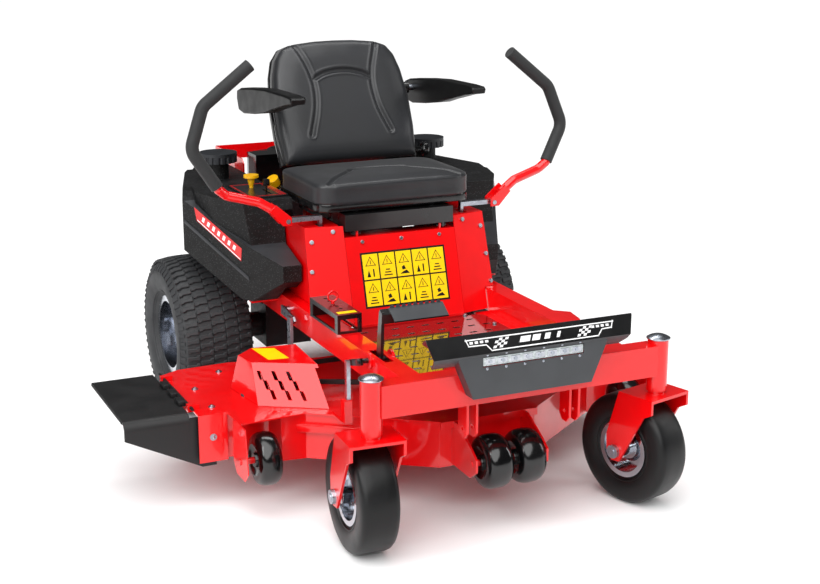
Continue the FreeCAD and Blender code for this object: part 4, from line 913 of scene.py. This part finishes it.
def makeLightBar():
    s = lightBar
    body, bezel, screws = bmesh.new(), bmesh.new(), bmesh.new()
    bevelEdges(body, {e for v in addBox(body, *s["lens"]) for e in v.link_edges}, 2, 2)
    bulbFront, bulbRear, bulbZ = s["bulb"]
    for index in range(s["lamps"]):
        x = s["firstLamp"] + index * s["pitch"]
        cup = addBox(bezel, x - s["cupHalf"], x + s["cupHalf"], *s["cup"])
        bevelEdges(bezel, {e for v in cup for e in v.link_edges}, 0.6, 1)
        addRod(screws, (x, bulbFront, bulbZ), (x, bulbRear, bulbZ), 4.6, 20)
    for x in s["screwsX"]:
        for z in s["screwsZ"]:
            addDome(screws, (x, s["screwY"], z), (0, -1, 0), 3.4, 2.2)
    addBox(body, *s["shelf"])
    frameBox = bmesh.new()
    addBox(frameBox, *s["bezel"])
    makePiece("light_bar_bezel", frameBox, [glossPlastic], "chassis", 30)
    bar = makePiece("light_bar_lens", body, [lampLens], "chassis", 30)
    makePiece("light_bar_reflectors", bezel, [polishedSteel], "chassis", 30)
    makePiece("light_bar_screws", screws, [zincPlate], "chassis", 30)
    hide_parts("light_bar")


# wall: a point of the outer wall and its run; normal: square to that wall; each strip is an outline,
# its distance from the wall, its thickness and its finish
fenderTrim = {"wallAt": (320, -470), "run": (167, 350), "normal": (0.9026, -0.4306),
              "band": ([(-164, 634), (-172, 597), (-327, 509), (-330, 545)], 0.4, 0.3, filmRed),
              "line": ([(-174, 601), (-174.5, 598), (-325, 512), (-325, 515)], 0.8, 0.2, filmWhite),
              # the ledge strip is lighter graphite: painted light on the lit lip of a groove
              "lit_ledge": ([(-126, 594), (-126, 583), (-356, 458), (-352, 470)], -1.0, 3.0, paintedLitLedgePlastic),
              "marks": 7, "firstMark": (-190, 599), "markPitch": 18, "markSlope": 0.55,
              "mark": [(0, 0), (-8, -4.5), (-13, 8), (-5, 12)]}


def fenderWall(sign, y, z, out):
    x0, y0 = fenderTrim["wallAt"]
    across, along = fenderTrim["run"]
    nx, ny = fenderTrim["normal"]
    x = x0 + (y - y0) * across / along
    return Vector((sign * (x + out * nx), y + out * ny, z))


def makeFenderTrim(side):
    sign = sides[side]
    nx, ny = fenderTrim["normal"]
    for name in ("band", "line", "lit_ledge"):
        outline, out, thick, finish = fenderTrim[name]
        bm = bmesh.new()
        verts = addPlate(bm, [fenderWall(sign, y, z, out) for y, z in outline],
                         (sign * thick * nx, thick * ny, 0))
        if name == "lit_ledge":
            bevelEdges(bm, {e for v in verts for e in v.link_edges}, 1.0, 2)
        makePiece("fender_" + side + "_" + name, bm, [finish], "chassis", 40)
    bm = bmesh.new()
    firstY, firstZ = fenderTrim["firstMark"]
    for index in range(fenderTrim["marks"]):
        y = firstY - index * fenderTrim["markPitch"]
        z = firstZ + (y - firstY) * fenderTrim["markSlope"]
        corners = [fenderWall(sign, y + a, z + b, 0.8) for a, b in fenderTrim["mark"]]
        addPlate(bm, corners, (sign * 0.18, -0.09, 0))
    makePiece("fender_" + side + "_mark", bm, [filmWhite], "chassis", 40)


details = {"bolts": ((-498, -445), (-597, -557), (-598, -704), (498, -445), (540, -557), (470, -790)),
           "deckTop": 245, "frontBolt": (-612, -756, 186), "plug": (-493, -656, 13, 5),
           "coverLabel": [(-440, -552), (-386, -572), (-380, -668), (-432, -660)], "coverTop": 332.3,
           "stiffener": (-455, -250, -6, 6, -11, 11), "stiffenerAt": (-83, -1072, 206),
           "stiffenerRun": (-195, 270), "teeth": 9, "firstTooth": -250, "toothPitch": 15,
           "tooth": [(0, 533), (14, 533), (10, 541), (4, 541)], "toothY": -1003, "panelTop": (676.1, 676.6),
           "linesX": (-346, -258, -251, -245), "linesY": (-290, -120), "lineHalf": 1.4,
           "heightScale": (-292, -243, -790, -772, 469.1, 469.6)}


def makeDetails():
    makeChute()
    makeFrontMark()
    makeLightBar()
    for side in sides:
        makeArmrest(side)
        makeFenderTrim(side)
    # bolts of the deck and the grey plug beside the chute
    d = details
    bolts, rubber = bmesh.new(), bmesh.new()
    for x, y in d["bolts"]:
        addBolt(bolts, (x, y, d["deckTop"]), (0, 0, 1), 6)
    addBolt(bolts, d["frontBolt"], (0, -1, 0), 6)
    x, y, radius, high = d["plug"]
    addRod(rubber, (x, y, d["deckTop"]), (x, y, d["deckTop"] + high), radius, 28)
    makePiece("deck_bolts", bolts, [zincPlate], "deck", 35)
    makePiece("deck_plug", rubber, [powderGrey], "deck", 35)
    # yellow panel on the belt cover
    bm = bmesh.new()
    addPlate(bm, [(x, y, d["coverTop"]) for x, y in d["coverLabel"]], (0, 0, 0.4))
    makePiece("belt_cover_label", bm, [filmYellow], "deck", 35)
    # stiffening bar across the front of the deck
    bm = bmesh.new()
    bar = addBox(bm, *d["stiffener"])
    bevelEdges(bm, {e for v in bar for e in v.link_edges}, 3, 2)
    slope = Matrix.Rotation(math.atan2(*d["stiffenerRun"]), 4, "Z")
    bmesh.ops.transform(bm, matrix=Matrix.Translation(d["stiffenerAt"]) @ slope, verts=bm.verts)
    makePiece("deck_stiffener", bm, [powderRed], "deck", 35)
    # saw-tooth grip along the pedal tread
    bm = bmesh.new()
    for index in range(d["teeth"]):
        start = d["firstTooth"] + index * d["toothPitch"]
        addPlate(bm, [(start + x, d["toothY"], z) for x, z in d["tooth"]], (0, -3, 0))
    makePiece("pedal_teeth", bm, [powderGrey], "pedal", 35)
    # red lines round the control panel and the yellow edge of the height selector
    bm = bmesh.new()
    half, (y0, y1) = d["lineHalf"], d["linesY"]
    for x in d["linesX"]:
        addBox(bm, x - half, x + half, y0 - 4, y1 + 4, *d["panelTop"])
    for y in d["linesY"]:
        addBox(bm, d["linesX"][0], d["linesX"][1], y - half, y + half, *d["panelTop"])
    makePiece("control_panel_lines", bm, [filmRed], "chassis", 35)
    bm = bmesh.new()
    addBox(bm, *d["heightScale"])
    makePiece("height_scale", bm, [filmYellow], "chassis", 35)


makeDetails()
print("details done")


# Floor and light

studio = {"floorSize": 70, "sun": 4.4, "sunSpread": 80, "sunFrom": (-0.36, -0.48, 0.80), "air": 0.07,
          "strips": (("strip_left", (-3.2, -1.2, 2.2), (0.5, 2.6), 34),
                     ("strip_right", (3.2, -1.6, 2.0), (0.4, 2.4), 22),
                     ("strip_top", (0.3, 0.9, 3.2), (2.6, 0.6), 30)), "stripsTo": (0, 0, 0.6)}


def makeStudio():
    bpy.ops.mesh.primitive_plane_add(size=studio["floorSize"], location=(0, 0, 0))
    floor = bpy.context.object
    floor.name = "studio_floor"
    paper = makeFinish("paper_white_matt", {
        "colour": "F6F6F6", "shade": "F4F4F4", "mottleMm": 900, "roughness": 0.8, "roughSpread": 0.05,
        "specular": 0.1, "grainMm": 3.0, "grainDepthMm": 0.01})
    floor.data.materials.append(paper)
    world = bpy.data.worlds.new("studio_air")
    world.use_nodes = True
    background = world.node_tree.nodes["Background"]
    background.inputs["Color"].default_value = (1, 1, 1, 1)
    background.inputs["Strength"].default_value = studio["air"]
    bpy.context.scene.world = world

    def addLamp(name, kind, place, target, power):
        light = bpy.data.lights.new(name, kind)
        light.energy = power
        lamp = bpy.data.objects.new(name, light)
        lamp.location = place
        lamp.rotation_euler = (Vector(target) - Vector(place)).to_track_quat("-Z", "Y").to_euler()
        bpy.context.collection.objects.link(lamp)
        return light

    sky = addLamp("overhead_diffuser", "SUN", Vector(studio["sunFrom"]) * 5, (0, 0, 0), studio["sun"])
    sky.angle = math.radians(studio["sunSpread"])
    for name, place, size, power in studio["strips"]:
        box = addLamp(name, "AREA", place, studio["stripsTo"], power)
        box.shape = "RECTANGLE"
        box.size, box.size_y = size
    bpy.context.scene.view_settings.view_transform = "Standard"


makeStudio()
print("scene ready")
